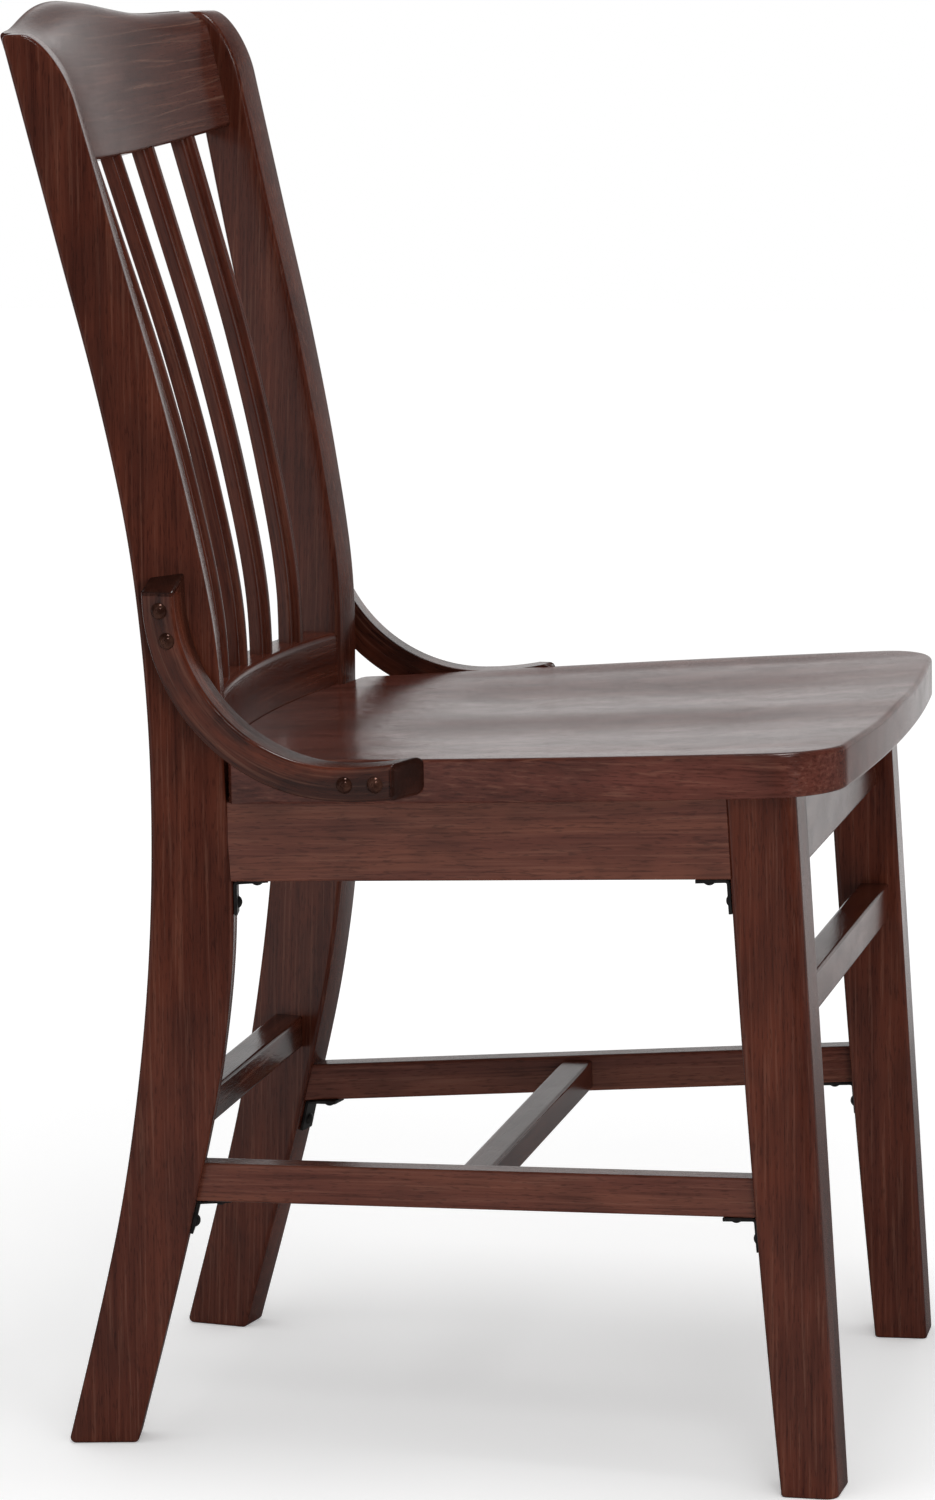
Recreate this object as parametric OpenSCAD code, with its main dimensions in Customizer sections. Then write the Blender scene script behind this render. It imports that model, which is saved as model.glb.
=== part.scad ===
// Schoolhouse chair: a wooden dining chair with a saddle seat and a slatted, toed-in back.
// The frame stands on z = 0 with its front towards -Y. "Right" is the sitter's right, -X.
// Every rail seats in its posts by tenons, and each mortise is its tenon grown by one fit.

/* [Seat] */
// Height of the seat's top above the floor, over the origin
seat_height = 438.4; // [425:0.1:455]
// Slope of the seat, front higher, in degrees
seat_pitch = 2.9; // [1:0.1:5]
// Thickness of the seat board
seat_thickness = 26.5; // [22:0.1:32]
// Widest width of the seat, at its front corners
seat_width = 419; // [405:1:440]
// Width of the seat at the back posts
seat_rear_width = 338; // [334:1:346]
// How far the seat's front edge lies ahead of the origin
seat_front = 267.2; // [262:0.1:285]
// Swell of each side edge beyond a straight line
seat_side_bow = 6.8; // [2:0.1:9]
// Swell of the front edge beyond a straight line
seat_front_bow = 10.4; // [4:0.1:18]
// Plan radius of the two front corners
seat_corner = 30; // [22:1:45]
// Radius on the seat's upper edge
seat_edge = 5; // [2:0.1:8]
// Depth of the two saddle scoops
scoop_depth = 3.2; // [1:0.1:6]
// Distance of each scoop's middle from the centre line
scoop_offset = 82; // [65:1:100]
// Spread of each scoop to either side of its middle
scoop_spread = 46; // [30:1:60]
// Depth of the broad dish under both scoops
dish_depth = 1.6; // [0:0.1:4]

/* [Back posts] */
// Height of the back posts
post_height = 867; // [840:1:900]
// Half the distance between the posts' outer faces at floor level, on the waist line
post_x = 136.3; // [132:0.1:142]
// Distance of the posts' front face behind the origin at the waist
post_y = 118.4; // [112:0.1:124]
// Thickness of each sawn post
post_thickness = 27; // [24:0.1:32]
// Outward lean of the posts, in degrees
post_splay = 3.9; // [2:0.1:5]
// Angle by which the posts' front faces turn towards each other, in degrees
post_toe = 10.3; // [6:0.1:14]
// Height of the waist, where the post's front line lies furthest forward
post_waist = 330; // [300:1:350]
// How far the foot's front edge lies behind the waist
post_foot_set = 73; // [55:1:85]
// How far the top of the front line lies behind the waist
post_top_set = 82.5; // [65:0.5:95]
// Depth of the post at the floor
post_foot_depth = 43; // [38:0.5:48]
// Depth of the post at the waist
post_hip_depth = 51; // [47:0.5:56]
// Depth of the post beside the seat
post_seat_depth = 45; // [41:0.5:50]
// Depth of the post at its top
post_top_depth = 32; // [30:0.5:36]
// Radius on the posts' long edges
post_edge = 2.5; // [1:0.1:5]
// How far back the rolled front edge reaches along the post's top
roll_reach = 20; // [12:0.5:26]
// How far down the post's front the roll begins
roll_drop = 40; // [25:1:55]

/* [Front legs] */
// Set back of the legs' outer faces under the seat's widest place
leg_inset = 8.3; // [4:0.1:14]
// Distance of the legs' front face ahead of the origin at the floor
leg_y = 255; // [248:0.1:258]
// Width of each front leg
leg_width = 37.7; // [32:0.1:44]
// Depth of the leg at the floor
leg_foot_depth = 34.2; // [30:0.1:40]
// Depth of the leg under the seat
leg_top_depth = 41.4; // [38:0.1:48]
// Swell of the leg's rear face beyond a straight taper
leg_belly = 2.3; // [0:0.1:4]
// Rearward lean of the leg's front face, in degrees
leg_lean = 3.08; // [1:0.01:5]
// Angle by which the leg follows the seat's taper, in degrees
leg_turn = 1.9; // [0:0.1:4]
// Radius on the leg's front outer edge
leg_front_edge = 8; // [3:0.5:12]
// Radius on the leg's other edges
leg_edge = 3; // [1:0.1:5]

/* [Aprons] */
// Height of the side and rear aprons
apron_height = 49; // [42:0.5:56]
// Height of the front apron
front_apron_height = 55.5; // [42:0.5:58]
// Thickness of the aprons
apron_thickness = 20; // [16:0.5:24]
// Set back of the side aprons behind the outer faces of posts and legs
apron_inset = 1.8; // [0.5:0.1:4]
// Set back of the front apron behind the legs' front face
apron_front_set = 7; // [1:0.5:10]
// Set back of the rear apron behind the posts' front face
apron_rear_set = 13; // [12:0.5:16]

/* [Stretchers] */
// Height of the side stretchers' top over the origin
side_stretcher_top = 184.2; // [150:0.1:210]
// Slope of the side stretchers, front higher, in degrees
side_stretcher_pitch = 2.2; // [0:0.1:4]
// Height of the side stretchers' section
side_stretcher_height = 24; // [18:0.5:30]
// Thickness of the side stretchers
side_stretcher_thickness = 17; // [13:0.5:20]
// Set back of the side stretchers behind the legs' outer faces
side_stretcher_front_inset = 6.4; // [3:0.1:9]
// Set back of the side stretchers behind the posts' outer faces
side_stretcher_rear_inset = 4.4; // [3:0.1:6]
// Height of the front stretcher's top
front_stretcher_top = 303.8; // [260:0.1:330]
// Height of the front stretcher's section
front_stretcher_height = 24.5; // [18:0.5:32]
// Depth of the front stretcher
front_stretcher_depth = 19; // [14:0.5:22]
// Set back of the front stretcher behind the legs' front face
front_stretcher_set = 6; // [3:0.5:12]
// Height of the rear stretcher's top
rear_stretcher_top = 212; // [202:0.5:280]
// Height of the rear stretcher's section
rear_stretcher_height = 21; // [16:0.5:26]
// Depth of the rear stretcher
rear_stretcher_depth = 20; // [15:0.5:24]
// Set back of the rear stretcher behind the posts' front face
rear_stretcher_set = 13; // [4:0.5:15]
// Distance of the centre stretcher's middle ahead of the origin
centre_stretcher_y = 27; // [-20:1:80]
// Width of the centre stretcher
centre_stretcher_width = 19.5; // [15:0.5:26]
// Height of the centre stretcher's section
centre_stretcher_height = 19; // [15:0.5:22]
// Drop of the centre stretcher's top below the side stretchers'
centre_stretcher_drop = 3; // [0.5:0.5:4]
// Radius on the long edges of aprons and stretchers
bar_edge = 2; // [0.5:0.1:3]

/* [Back] */
// Radius of the back's curve in plan
back_radius = 640; // [560:10:800]
// Height of the crest rail at its ends
crest_height = 73.5; // [60:0.5:90]
// Lean of the crest rail, in degrees
crest_lean = 14.2; // [10:0.1:18]
// Thickness of the crest rail
crest_thickness = 20; // [17:0.5:22]
// Set back of the crest rail's face behind the posts' front
crest_set = 13.2; // [9:0.1:15]
// Rise of the crest rail's middle above the posts
crown_rise = 12.4; // [4:0.1:20]
// Half the width over which the crown runs out
crown_reach = 142; // [110:1:170]
// Dip of the crest rail's lower edge in the middle
crest_dip = 3; // [0:0.5:8]
// Reach of the crest rail's rolled front edge
crest_roll = 14; // [8:0.5:16]
// Rise of the lower back rail's top above the seat's height
rail_rise = 27.1; // [22:0.1:40]
// Height of the lower back rail
rail_height = 58; // [48:0.5:60]
// Thickness of the lower back rail
rail_thickness = 25; // [22:0.5:30]
// Set back of the lower rail's face behind the posts' front
rail_set = 1.6; // [0.5:0.1:5]
// Radius on the lower rail's upper front edge
rail_edge = 6; // [2:0.5:8]
// Width of each slat
slat_width = 21; // [16:0.5:26]
// Thickness of the slats' flat flanges
slat_flange = 8.5; // [6:0.5:10]
// Rise of the moulded bead on each slat
slat_bead = 3; // [1:0.5:4]
// Half the width of the bead
slat_bead_half = 4.2; // [3:0.1:6]
// Depth of the groove on each side of the bead
slat_groove = 0.6; // [0.3:0.1:1]
// Set back of the slats behind the posts' front at the lower rail
slat_low_set = 10.5; // [8:0.5:13]
// Set back of the slats behind the posts' front at the crest rail
slat_high_set = 17; // [14:0.5:20]
// Forward swell of the slats at mid height
slat_belly = 2.2; // [0:0.1:5]

/* [Side braces] */
// Radius of each brace's inner curve
brace_radius = 99; // [85:0.5:105]
// Width of the brace's band
brace_band = 20.5; // [16:0.5:24]
// Thickness of each brace
brace_thickness = 21; // [17:0.5:24]
// Distance of the brace's curve centre behind the origin
brace_y = 40.2; // [35:0.1:46]
// Rise of the brace's upper end above the seat's height
brace_rise = 98.6; // [90:0.1:106]
// Drop of the brace's lower edge below the seat's height
brace_drop = 23.4; // [21:0.1:26]
// Radius of the brace's upper edge ahead of its curve, where it flares up
brace_flare = 200; // [150:5:300]
// Radius of the brace's lower edge ahead of its curve
brace_under_flare = 320; // [250:5:400]
// How far ahead of its curve centre the brace runs along the seat
brace_run = 36; // [30:0.5:45]
// Depth to which the braces are let into the post and the seat's side
brace_let = 0.9; // [0.5:0.1:2]
// Slope of the bevelled front end, in degrees
brace_bevel = 34; // [20:1:45]
// Slope of the bevelled upper end, in degrees
brace_top_bevel = 26; // [10:1:40]

/* [Hardware] */
// Length of each bracket leg
bracket_leg = 21; // [19:0.5:26]
// Width of the brackets
bracket_width = 15; // [10:0.5:16]
// Thickness of the brackets' steel
bracket_steel = 2; // [1:0.1:3]
// Distance of the bracket screws from the corner
bracket_hole = 14; // [12:0.5:15]
// Diameter of every screw's shank
screw_diameter = 4; // [3:0.1:5]
// Diameter of the brace screws' heads
brace_head = 9.5; // [7:0.5:12]
// Diameter of the bracket screws' heads
bracket_head = 8; // [6:0.5:9]
// Length of the brace screws under the head
brace_screw_length = 38; // [30:1:41]
// Length of the bracket screws under the head
bracket_screw_length = 15; // [10:1:18]
// Height of the corner blocks
block_height = 28; // [20:1:36]
// Length of each corner block along its aprons
block_reach = 38; // [30:1:50]

/* [Joints] */
// Length of the tenons
tenon_length = 15; // [10:0.5:17]
// Thickness of the tenons
tenon_thickness = 9; // [6:0.5:11]
// Shoulder left above and below each tenon
tenon_shoulder = 4; // [3:0.5:6]
// Gap left all round a tenon, a screw or a shoulder
fit = 0.15; // [0.1:0.05:0.3]

/* [Hidden] */
$fn = 48;
walnut = "#4d271c";
dark_walnut = "#42211a";
steel = "#3c3a3a";
corner_steps = 3;
// Share of a corner's radius that its middle point lies in from each face
arc_share = 0.3;
pitch_slope = tan(seat_pitch);
stretcher_slope = tan(side_stretcher_pitch);
big = 1200;
leg_x = seat_width / 2 - leg_inset;
crest_bottom = post_height - crest_height;
rail_top = seat_height + rail_rise;
brace_top = seat_height + brace_rise;
brace_low = seat_height - brace_drop;

// Shares of the height and the set back that shape the post's front line, below the waist and above it
foot_line = [[0, 1], [0.21, 0.73], [0.45, 0.44], [0.73, 0.15], [1, 0]];
back_line = [[0.17, 0.022], [0.32, 0.043], [0.465, 0.185], [0.615, 0.387], [0.76, 0.62], [1, 1]];
back_height = post_height - post_waist;
post_front_line = concat(
    [for (k = foot_line) [k[0] * post_waist, k[1] * post_foot_set]],
    [for (k = back_line) [post_waist + k[0] * back_height, k[1] * post_top_set]]);
post_depth_line = [
    [0, post_foot_depth],
    [0.45 * post_waist, post_foot_depth + 0.28 * (post_hip_depth - post_foot_depth)],
    [0.73 * post_waist, post_foot_depth + 0.88 * (post_hip_depth - post_foot_depth)],
    [post_waist, post_hip_depth],
    [post_waist + 0.17 * back_height, post_seat_depth],
    [post_waist + 0.32 * back_height, post_seat_depth],
    [post_waist + 0.465 * back_height, post_top_depth + 0.65 * (post_seat_depth - post_top_depth)],
    [post_waist + 0.76 * back_height, post_top_depth + 0.26 * (post_seat_depth - post_top_depth)],
    [post_height, post_top_depth]];

// Smooth curve through a table of [place, value] rows
function row_of(t, x, i = 0) = i >= len(t) - 2 || x < t[i + 1][0] ? i : row_of(t, x, i + 1);
function rise_at(t, i) =
    let (a = max(i - 1, 0), b = min(i + 1, len(t) - 1))
    (t[b][1] - t[a][1]) / (t[b][0] - t[a][0]);
function curve(t, x) =
    let (i = row_of(t, x), h = t[i + 1][0] - t[i][0], u = (x - t[i][0]) / h)
    (2 * u ^ 3 - 3 * u ^ 2 + 1) * t[i][1] + (u ^ 3 - 2 * u ^ 2 + u) * h * rise_at(t, i)
    + (3 * u ^ 2 - 2 * u ^ 3) * t[i + 1][1] + (u ^ 3 - u ^ 2) * h * rise_at(t, i + 1);

// Rectangle from a to b with a radius at each corner, walked round from the low corner
function round_rect(a, b, r, steps = corner_steps) = [
    for (c = [[a[0], a[1], 180, r[0]], [b[0], a[1], 270, r[1]], [b[0], b[1], 0, r[2]], [a[0], b[1], 90, r[3]]])
        let (m = [c[0] + (c[0] == a[0] ? c[3] : -c[3]), c[1] + (c[1] == a[1] ? c[3] : -c[3])])
            for (i = [0:steps])
                let (w = c[2] + 90 * i / steps)
                    m + c[3] * [cos(w), sin(w)]];

// Solid skin over a row of rings, closed by a fan at each end, or by one face where an end is flat
module loft(rings, flat = false) {
    n = len(rings[0]);
    last = len(rings) - 1;
    middles = [for (k = [0, last]) [for (a = [0:2]) sum_of(rings[k], a) / n]];
    points = concat([for (ring = rings) for (p = ring) p], middles);
    sides = [for (k = [0:last - 1]) for (i = [0:n - 1])
        let (a = k * n + i, b = k * n + (i + 1) % n)
            each [[a, a + n, b + n], [a, b + n, b]]];
    fans = [for (i = [0:n - 1]) let (j = (i + 1) % n)
        each [[i, j, (last + 1) * n], [last * n + j, last * n + i, (last + 1) * n + 1]]];
    caps = [[for (i = [0:n - 1]) i], [for (i = [n - 1:-1:0]) last * n + i]];
    polyhedron(points = points, faces = concat(sides, flat ? caps : fans), convexity = 6);
}
function sum_of(ring, a, i = 0) = i == len(ring) ? 0 : ring[i][a] + sum_of(ring, a, i + 1);
// Point at a share t of the curve from a to c that leans towards b by a weight
function conic(a, b, c, weight, t) =
    let (k = [(1 - t) ^ 2, 2 * weight * t * (1 - t), t ^ 2])
    (k[0] * a + k[1] * b + k[2] * c) / (k[0] + k[1] + k[2]);
function flip(ring) = [for (i = [len(ring) - 1:-1:0]) ring[i]];

// Both sides of the chair from the sitter's left side
module both_sides() {
    children();
    mirror([1, 0, 0]) children();
}

// Back posts: s runs rearward along the post's outer face, w inward through its thickness
splay_slope = tan(post_splay);
function post_front(z) = curve(post_front_line, z);
function post_rear(z) = post_front(z) + curve(post_depth_line, z);
function post_point(s, w, z) = [
    post_x + splay_slope * z + s * sin(post_toe) - w * cos(post_toe),
    post_y + s * cos(post_toe) + w * sin(post_toe),
    z];
// Half width at the plane of the posts' inner faces, or w in from the outer ones
function post_side_x(y, z, w = post_thickness) =
    post_x + splay_slope * z + (y - post_y) * tan(post_toe) - w / cos(post_toe);
// Depth coordinate of the post's front face at a half width
function post_front_y(x, z) =
    let (p = post_point(post_front(z), 0, z))
    p[1] + (p[0] - x) * tan(post_toe);
// Depth coordinate of the post's inner front edge
function post_inner_y(z) = post_point(post_front(z), post_thickness, z)[1];

roll_rings = 7;
roll_weight = 0.6;
roll_start = post_height - roll_drop;
// Height and front line of the rolled top: a conic from the front face over to the top
function roll_at(t) =
    let (a = [post_front(roll_start), roll_start], b = [post_front(post_height), post_height],
         c = b + [roll_reach, 0])
    conic(a, b, c, roll_weight, t);
post_steps = 24;
post_stations = concat(
    [for (i = [0:post_steps]) let (z = roll_start * i / post_steps) [post_front(z), z]],
    [for (i = [1:roll_rings]) roll_at(i / roll_rings)]);
function post_ring(st) =
    let (z = st[1], rear = post_rear(z) - max(0, z - post_height + post_edge))
    [for (q = round_rect([st[0], 0], [rear, post_thickness], [for (k = [0:3]) post_edge]))
        post_point(q[0], q[1], z)];

module post_blank() loft([for (st = post_stations) post_ring(st)]);

module back_post() color(walnut) difference() {
    post_blank();
    bar_tenon("apron", true, fit);
    bar_tenon("stretcher", true, fit);
    cross_tenon("rear_apron", fit);
    cross_tenon("rear_stretcher", fit);
    rail_tenon(fit);
    crest_tenon(fit);
    brace_screw_places() screw_bore(brace_screw_length);
    bracket_places() bracket_screw_places() screw_bore(bracket_screw_length);
    block_screw_places([true]) screw_bore(block_screw_length(true));
}

// Front legs: s runs rearward, w inward, as on the posts
lean_slope = tan(leg_lean);
function under_z(y) = seat_height - seat_thickness - pitch_slope * y;
leg_reach = under_z(-leg_y);
function leg_front(z) = lean_slope * z;
function leg_rear(z) =
    let (t = z / leg_reach)
    leg_foot_depth + (leg_top_depth - leg_foot_depth) * t + leg_front(z) + 4 * leg_belly * t * (1 - t);
function leg_point(s, w, z) = [
    leg_x - s * sin(leg_turn) - w * cos(leg_turn),
    -leg_y + s * cos(leg_turn) - w * sin(leg_turn),
    z];
function leg_side_x(y, w = leg_width) = leg_x - (y + leg_y) * tan(leg_turn) - w / cos(leg_turn);
function leg_rear_y(x, z) =
    let (p = leg_point(leg_rear(z), 0, z))
    p[1] - (p[0] - x) * tan(leg_turn);
leg_steps = 8;
foot_ease = 1;
function leg_ring(z, ease = 0) = [
    for (q = round_rect([leg_front(z) + ease, ease], [leg_rear(z) - ease, leg_width - ease],
                        [leg_front_edge, leg_edge, leg_edge, leg_edge]))
        leg_point(q[0], q[1], z)];
function on_underside(ring) = [for (p = ring) [p[0], p[1], under_z(p[1])]];

module front_leg() color(walnut) difference() {
    loft(concat(
        [leg_ring(0, foot_ease)],
        [for (i = [0:leg_steps - 1]) leg_ring(foot_ease + leg_reach * i / leg_steps)],
        [on_underside(leg_ring(leg_reach))]));
    bar_tenon("apron", false, fit);
    bar_tenon("stretcher", false, fit);
    cross_tenon("front_apron", fit);
    cross_tenon("front_stretcher", fit);
    bracket_places() bracket_screw_places() screw_bore(bracket_screw_length);
    block_screw_places([false]) screw_bore(block_screw_length(false));
}

// Side aprons and side stretchers: half width of the outer face and height of the top at a depth
apron_rear_x = post_side_x(post_y, under_z(post_y), 0) - apron_inset;
apron_front_x = leg_side_x(-leg_y, 0) - apron_inset;
apron_rear_y = post_front_y(apron_rear_x, under_z(post_y));
apron_front_y = leg_rear_y(apron_front_x, under_z(-leg_y));
apron_plan_slope = (apron_front_x - apron_rear_x) / (apron_rear_y - apron_front_y);
function apron_x(y) = apron_rear_x + (apron_rear_y - y) * apron_plan_slope;
stretcher_rear_y = post_y + post_front(side_stretcher_top);
stretcher_front_y = -leg_y + leg_rear(side_stretcher_top);
stretcher_rear_x = post_side_x(stretcher_rear_y, side_stretcher_top, 0) - side_stretcher_rear_inset;
stretcher_front_x = leg_side_x(stretcher_front_y, 0) - side_stretcher_front_inset;
function stretcher_x(y) =
    let (t = (y - stretcher_rear_y) / (stretcher_front_y - stretcher_rear_y))
    stretcher_rear_x + (stretcher_front_x - stretcher_rear_x) * t;
function stretcher_z(y) = side_stretcher_top - y * stretcher_slope;
function bar_x(name) = name == "apron" ? function (y) apron_x(y) : function (y) stretcher_x(y);
function bar_z(name) = name == "apron" ? function (y) under_z(y) : function (y) stretcher_z(y);
function bar_size(name) = name == "apron"
    ? [apron_thickness, apron_height]
    : [side_stretcher_thickness, side_stretcher_height];

// Radius on the upper edges of an apron, which meet the seat
seated_edge = 0.3;

// Point of a side bar, q[0] in from its outer face and q[1] below its top, cut to the post or the leg
function bar_point(name, q, rear) =
    let (plan = bar_x(name), top = bar_z(name),
         face = rear ? function (x, z) post_front_y(x, z) - fit : function (x, z) leg_rear_y(x, z) + fit,
         y0 = rear ? post_y : -leg_y,
         y1 = face(plan(y0) - q[0], top(y0) - q[1]),
         y2 = face(plan(y1) - q[0], top(y1) - q[1]),
         y3 = face(plan(y2) - q[0], top(y2) - q[1]))
    [plan(y3) - q[0], y3, top(y3) - q[1]];
function bar_ring(name, rear) =
    let (size = bar_size(name), e = name == "apron" ? seated_edge : bar_edge)
    [for (q = round_rect([0, 0], size, [e, e, bar_edge, bar_edge])) bar_point(name, q, rear)];

// Box that runs from a point into the wood along d, its width level and its height up
module tenon_box(root, d, width, height, grow) {
    back = 4;
    translate(root)
        rotate([0, 0, atan2(-d[0], d[1])])
            rotate([asin(d[2] / norm(d)), 0, 0])
                translate([-width / 2 - grow, -back, -height / 2 - grow])
                    cube([width + 2 * grow, tenon_length + grow + back, height + 2 * grow]);
}
module bar_tenon(name, rear, grow = 0) {
    size = bar_size(name);
    root = bar_point(name, size / 2, rear);
    other = bar_point(name, size / 2, !rear);
    tenon_box(root, root - other, tenon_thickness, size[1] - 2 * tenon_shoulder, grow);
}
module side_bar(name) {
    loft([bar_ring(name, true), bar_ring(name, false)]);
    bar_tenon(name, true);
    bar_tenon(name, false);
}
module side_apron() color(walnut) difference() {
    side_bar("apron");
    bracket_places() bracket_screw_places() screw_bore(bracket_screw_length);
}
module side_stretcher() color(walnut) difference() {
    side_bar("stretcher");
    centre_tenon(fit);
    bracket_places() bracket_screw_places() screw_bore(bracket_screw_length);
}

// Cross bars run from side to side: [depth of the front face, top, depth of the section, height]
front_apron_y = -leg_y + leg_front(leg_reach) + apron_front_set;
rear_apron_y = post_inner_y(under_z(post_y)) + apron_rear_set;
cross_bars = [
    ["front_apron", front_apron_y, function (y) under_z(y), apron_thickness, front_apron_height],
    ["rear_apron", rear_apron_y, function (y) under_z(y), apron_thickness, apron_height],
    ["front_stretcher",
        -leg_y + leg_front(front_stretcher_top) + front_stretcher_set,
        function (y) front_stretcher_top, front_stretcher_depth, front_stretcher_height],
    ["rear_stretcher",
        post_inner_y(rear_stretcher_top) + rear_stretcher_set,
        function (y) rear_stretcher_top, rear_stretcher_depth, rear_stretcher_height]];
function cross_bar(name) = cross_bars[search([name], cross_bars)[0]];
function is_front(name) = name == "front_apron" || name == "front_stretcher";
function cross_point(name, q) =
    let (bar = cross_bar(name), y = bar[1] + q[0], z = bar[2](y) - q[1],
         x = is_front(name) ? leg_side_x(y) : post_side_x(y, z))
    [x - fit, y, z];
function cross_ring(name) =
    let (bar = cross_bar(name), e = bar_edge, top = bar[3] == apron_thickness ? seated_edge : bar_edge)
    [for (q = round_rect([0, 0], [bar[3], bar[4]], [top, top, e, e])) cross_point(name, q)];
module cross_tenon(name, grow = 0) {
    bar = cross_bar(name);
    tenon_box(cross_point(name, [bar[3], bar[4]] / 2), [1, 0, 0], tenon_thickness,
              bar[4] - 2 * tenon_shoulder, grow);
}
function mirrored(ring) = [for (p = ring) [-p[0], p[1], p[2]]];
module cross_member(name) {
    loft([cross_ring(name), mirrored(cross_ring(name))]);
    both_sides() cross_tenon(name);
}
module front_apron() color(walnut) cross_member("front_apron");
module rear_apron() color(dark_walnut) cross_member("rear_apron");
module front_stretcher() color(walnut) cross_member("front_stretcher");
module rear_stretcher() color(dark_walnut) cross_member("rear_stretcher");

// Centre stretcher, tenoned into the side stretchers just below their tops
centre_top = stretcher_z(-centre_stretcher_y) - centre_stretcher_drop;
centre_tenon_length = 9;
function centre_point(q) =
    let (y = -centre_stretcher_y - centre_stretcher_width / 2 + q[0])
    [stretcher_x(y) - side_stretcher_thickness - fit, y, centre_top - q[1]];
module centre_tenon(grow = 0) {
    root = centre_point([centre_stretcher_width, centre_stretcher_height] / 2);
    wide = centre_stretcher_width - 2 * tenon_shoulder;
    tall = centre_stretcher_height - 2 * tenon_shoulder;
    translate([root[0] - tenon_shoulder, root[1] - wide / 2 - grow, root[2] - tall / 2 - grow])
        cube([centre_tenon_length + tenon_shoulder + grow, wide + 2 * grow, tall + 2 * grow]);
}
module centre_stretcher() color(walnut) {
    ring = [for (q = round_rect([0, 0], [centre_stretcher_width, centre_stretcher_height],
                                [for (k = [0:3]) bar_edge])) centre_point(q)];
    loft([ring, mirrored(ring)]);
    both_sides() centre_tenon();
}

// Back: everything between the posts follows one arc in plan, at a share v of the half width
function bow(half, v) = half ^ 2 * (1 - v ^ 2) / (2 * back_radius);
crest_half = post_side_x(post_inner_y(crest_bottom) + crest_set, crest_bottom);
crest_foot = [post_inner_y(crest_bottom) + crest_set, crest_bottom];
crest_steps = 36;
crest_roll_steps = 4;
crest_roll_weight = 0.8;
// Section point n back from the crest rail's face and u up along it, at a share v of the width
function crest_yz(n, u, v) =
    let (m = n + bow(crest_half, v))
    crest_foot + [m * cos(crest_lean) + u * sin(crest_lean), u * cos(crest_lean) - m * sin(crest_lean)];
function crown(v) =
    let (x = abs(v) * crest_half)
    x < crown_reach ? crown_rise * cos(90 * x / crown_reach) ^ 2 : 0;
// Height along the face at which the section point n back reaches a level
function crest_u(n, z, v) =
    (z - crest_bottom + (n + bow(crest_half, v)) * sin(crest_lean)) / cos(crest_lean);
function crest_low(v) = -crest_dip * (1 - v ^ 2);
function crest_section(v) =
    let (t = crest_thickness, e = post_edge, z = post_height + crown(v), low = crest_low(v),
         face = crest_u(0, z, v), rear = crest_u(t, z, v),
         a = [0, face - crest_roll], b = [0, face], c = [crest_roll, crest_u(crest_roll, z, v)])
    concat(
        [[e, low], [e * arc_share, low + e * arc_share], [0, low + e]],
        [for (i = [0:crest_roll_steps]) conic(a, b, c, crest_roll_weight, i / crest_roll_steps)],
        [[t - e, crest_u(t - e, z, v)], [t - e * arc_share, rear - e * arc_share], [t, rear - e]],
        [[t, low + e], [t - e * arc_share, low + e * arc_share], [t - e, low]]);
function crest_ring(v) = [
    for (q = flip(crest_section(v)))
        let (p = crest_yz(q[0], q[1], v))
            [v * (post_side_x(p[0], p[1]) - fit), p[0], p[1]]];
module crest_tenon(grow = 0) {
    middle = crest_yz(crest_thickness / 2, (post_height - crest_bottom) / 2, 1);
    root = [post_side_x(middle[0], middle[1]), middle[0], middle[1]];
    tall = (post_height - crest_bottom) / 2;
    translate(root)
        rotate([0, 0, -post_toe])
            rotate([-crest_lean, 0, 0])
                translate([-tenon_shoulder, -tenon_thickness / 2 - grow, -tall / 2 - grow])
                    cube([tenon_shoulder + tenon_length + grow, tenon_thickness + 2 * grow, tall + 2 * grow]);
}
module crest_rail() color(walnut) difference() {
    union() {
        loft([for (i = [-crest_steps / 2:crest_steps / 2]) crest_ring(2 * i / crest_steps)]);
        both_sides() crest_tenon();
    }
    for (k = slats) slat_tenon(k, true, fit);
}

// Lower back rail: level, with its upper front edge eased
rail_steps = 20;
function rail_front_y(z) = post_inner_y(z) + rail_set;
rail_half = post_side_x(rail_front_y(rail_top), rail_top);
function rail_point(q, v) =
    let (z = rail_top - q[1], y = rail_front_y(z) + q[0] + bow(rail_half, v))
    [v * (post_side_x(y, z) - fit), y, z];
function rail_ring(v) = [
    for (q = round_rect([0, 0], [rail_thickness, rail_height], [rail_edge, bar_edge, bar_edge, bar_edge]))
        rail_point(q, v)];
module rail_tenon(grow = 0) {
    root = rail_point([rail_thickness, rail_height] / 2, 1);
    tall = rail_height - 4 * tenon_shoulder;
    translate(root)
        rotate([0, 0, -post_toe])
            translate([-tenon_shoulder, -tenon_thickness / 2 - grow, -tall / 2 - grow])
                cube([tenon_shoulder + tenon_length + grow, tenon_thickness + 2 * grow, tall + 2 * grow]);
}
module lower_back_rail() color(walnut) difference() {
    union() {
        loft([for (i = [-rail_steps / 2:rail_steps / 2]) rail_ring(-2 * i / rail_steps)]);
        both_sides() rail_tenon();
    }
    for (k = slats) slat_tenon(k, false, fit);
}

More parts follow.
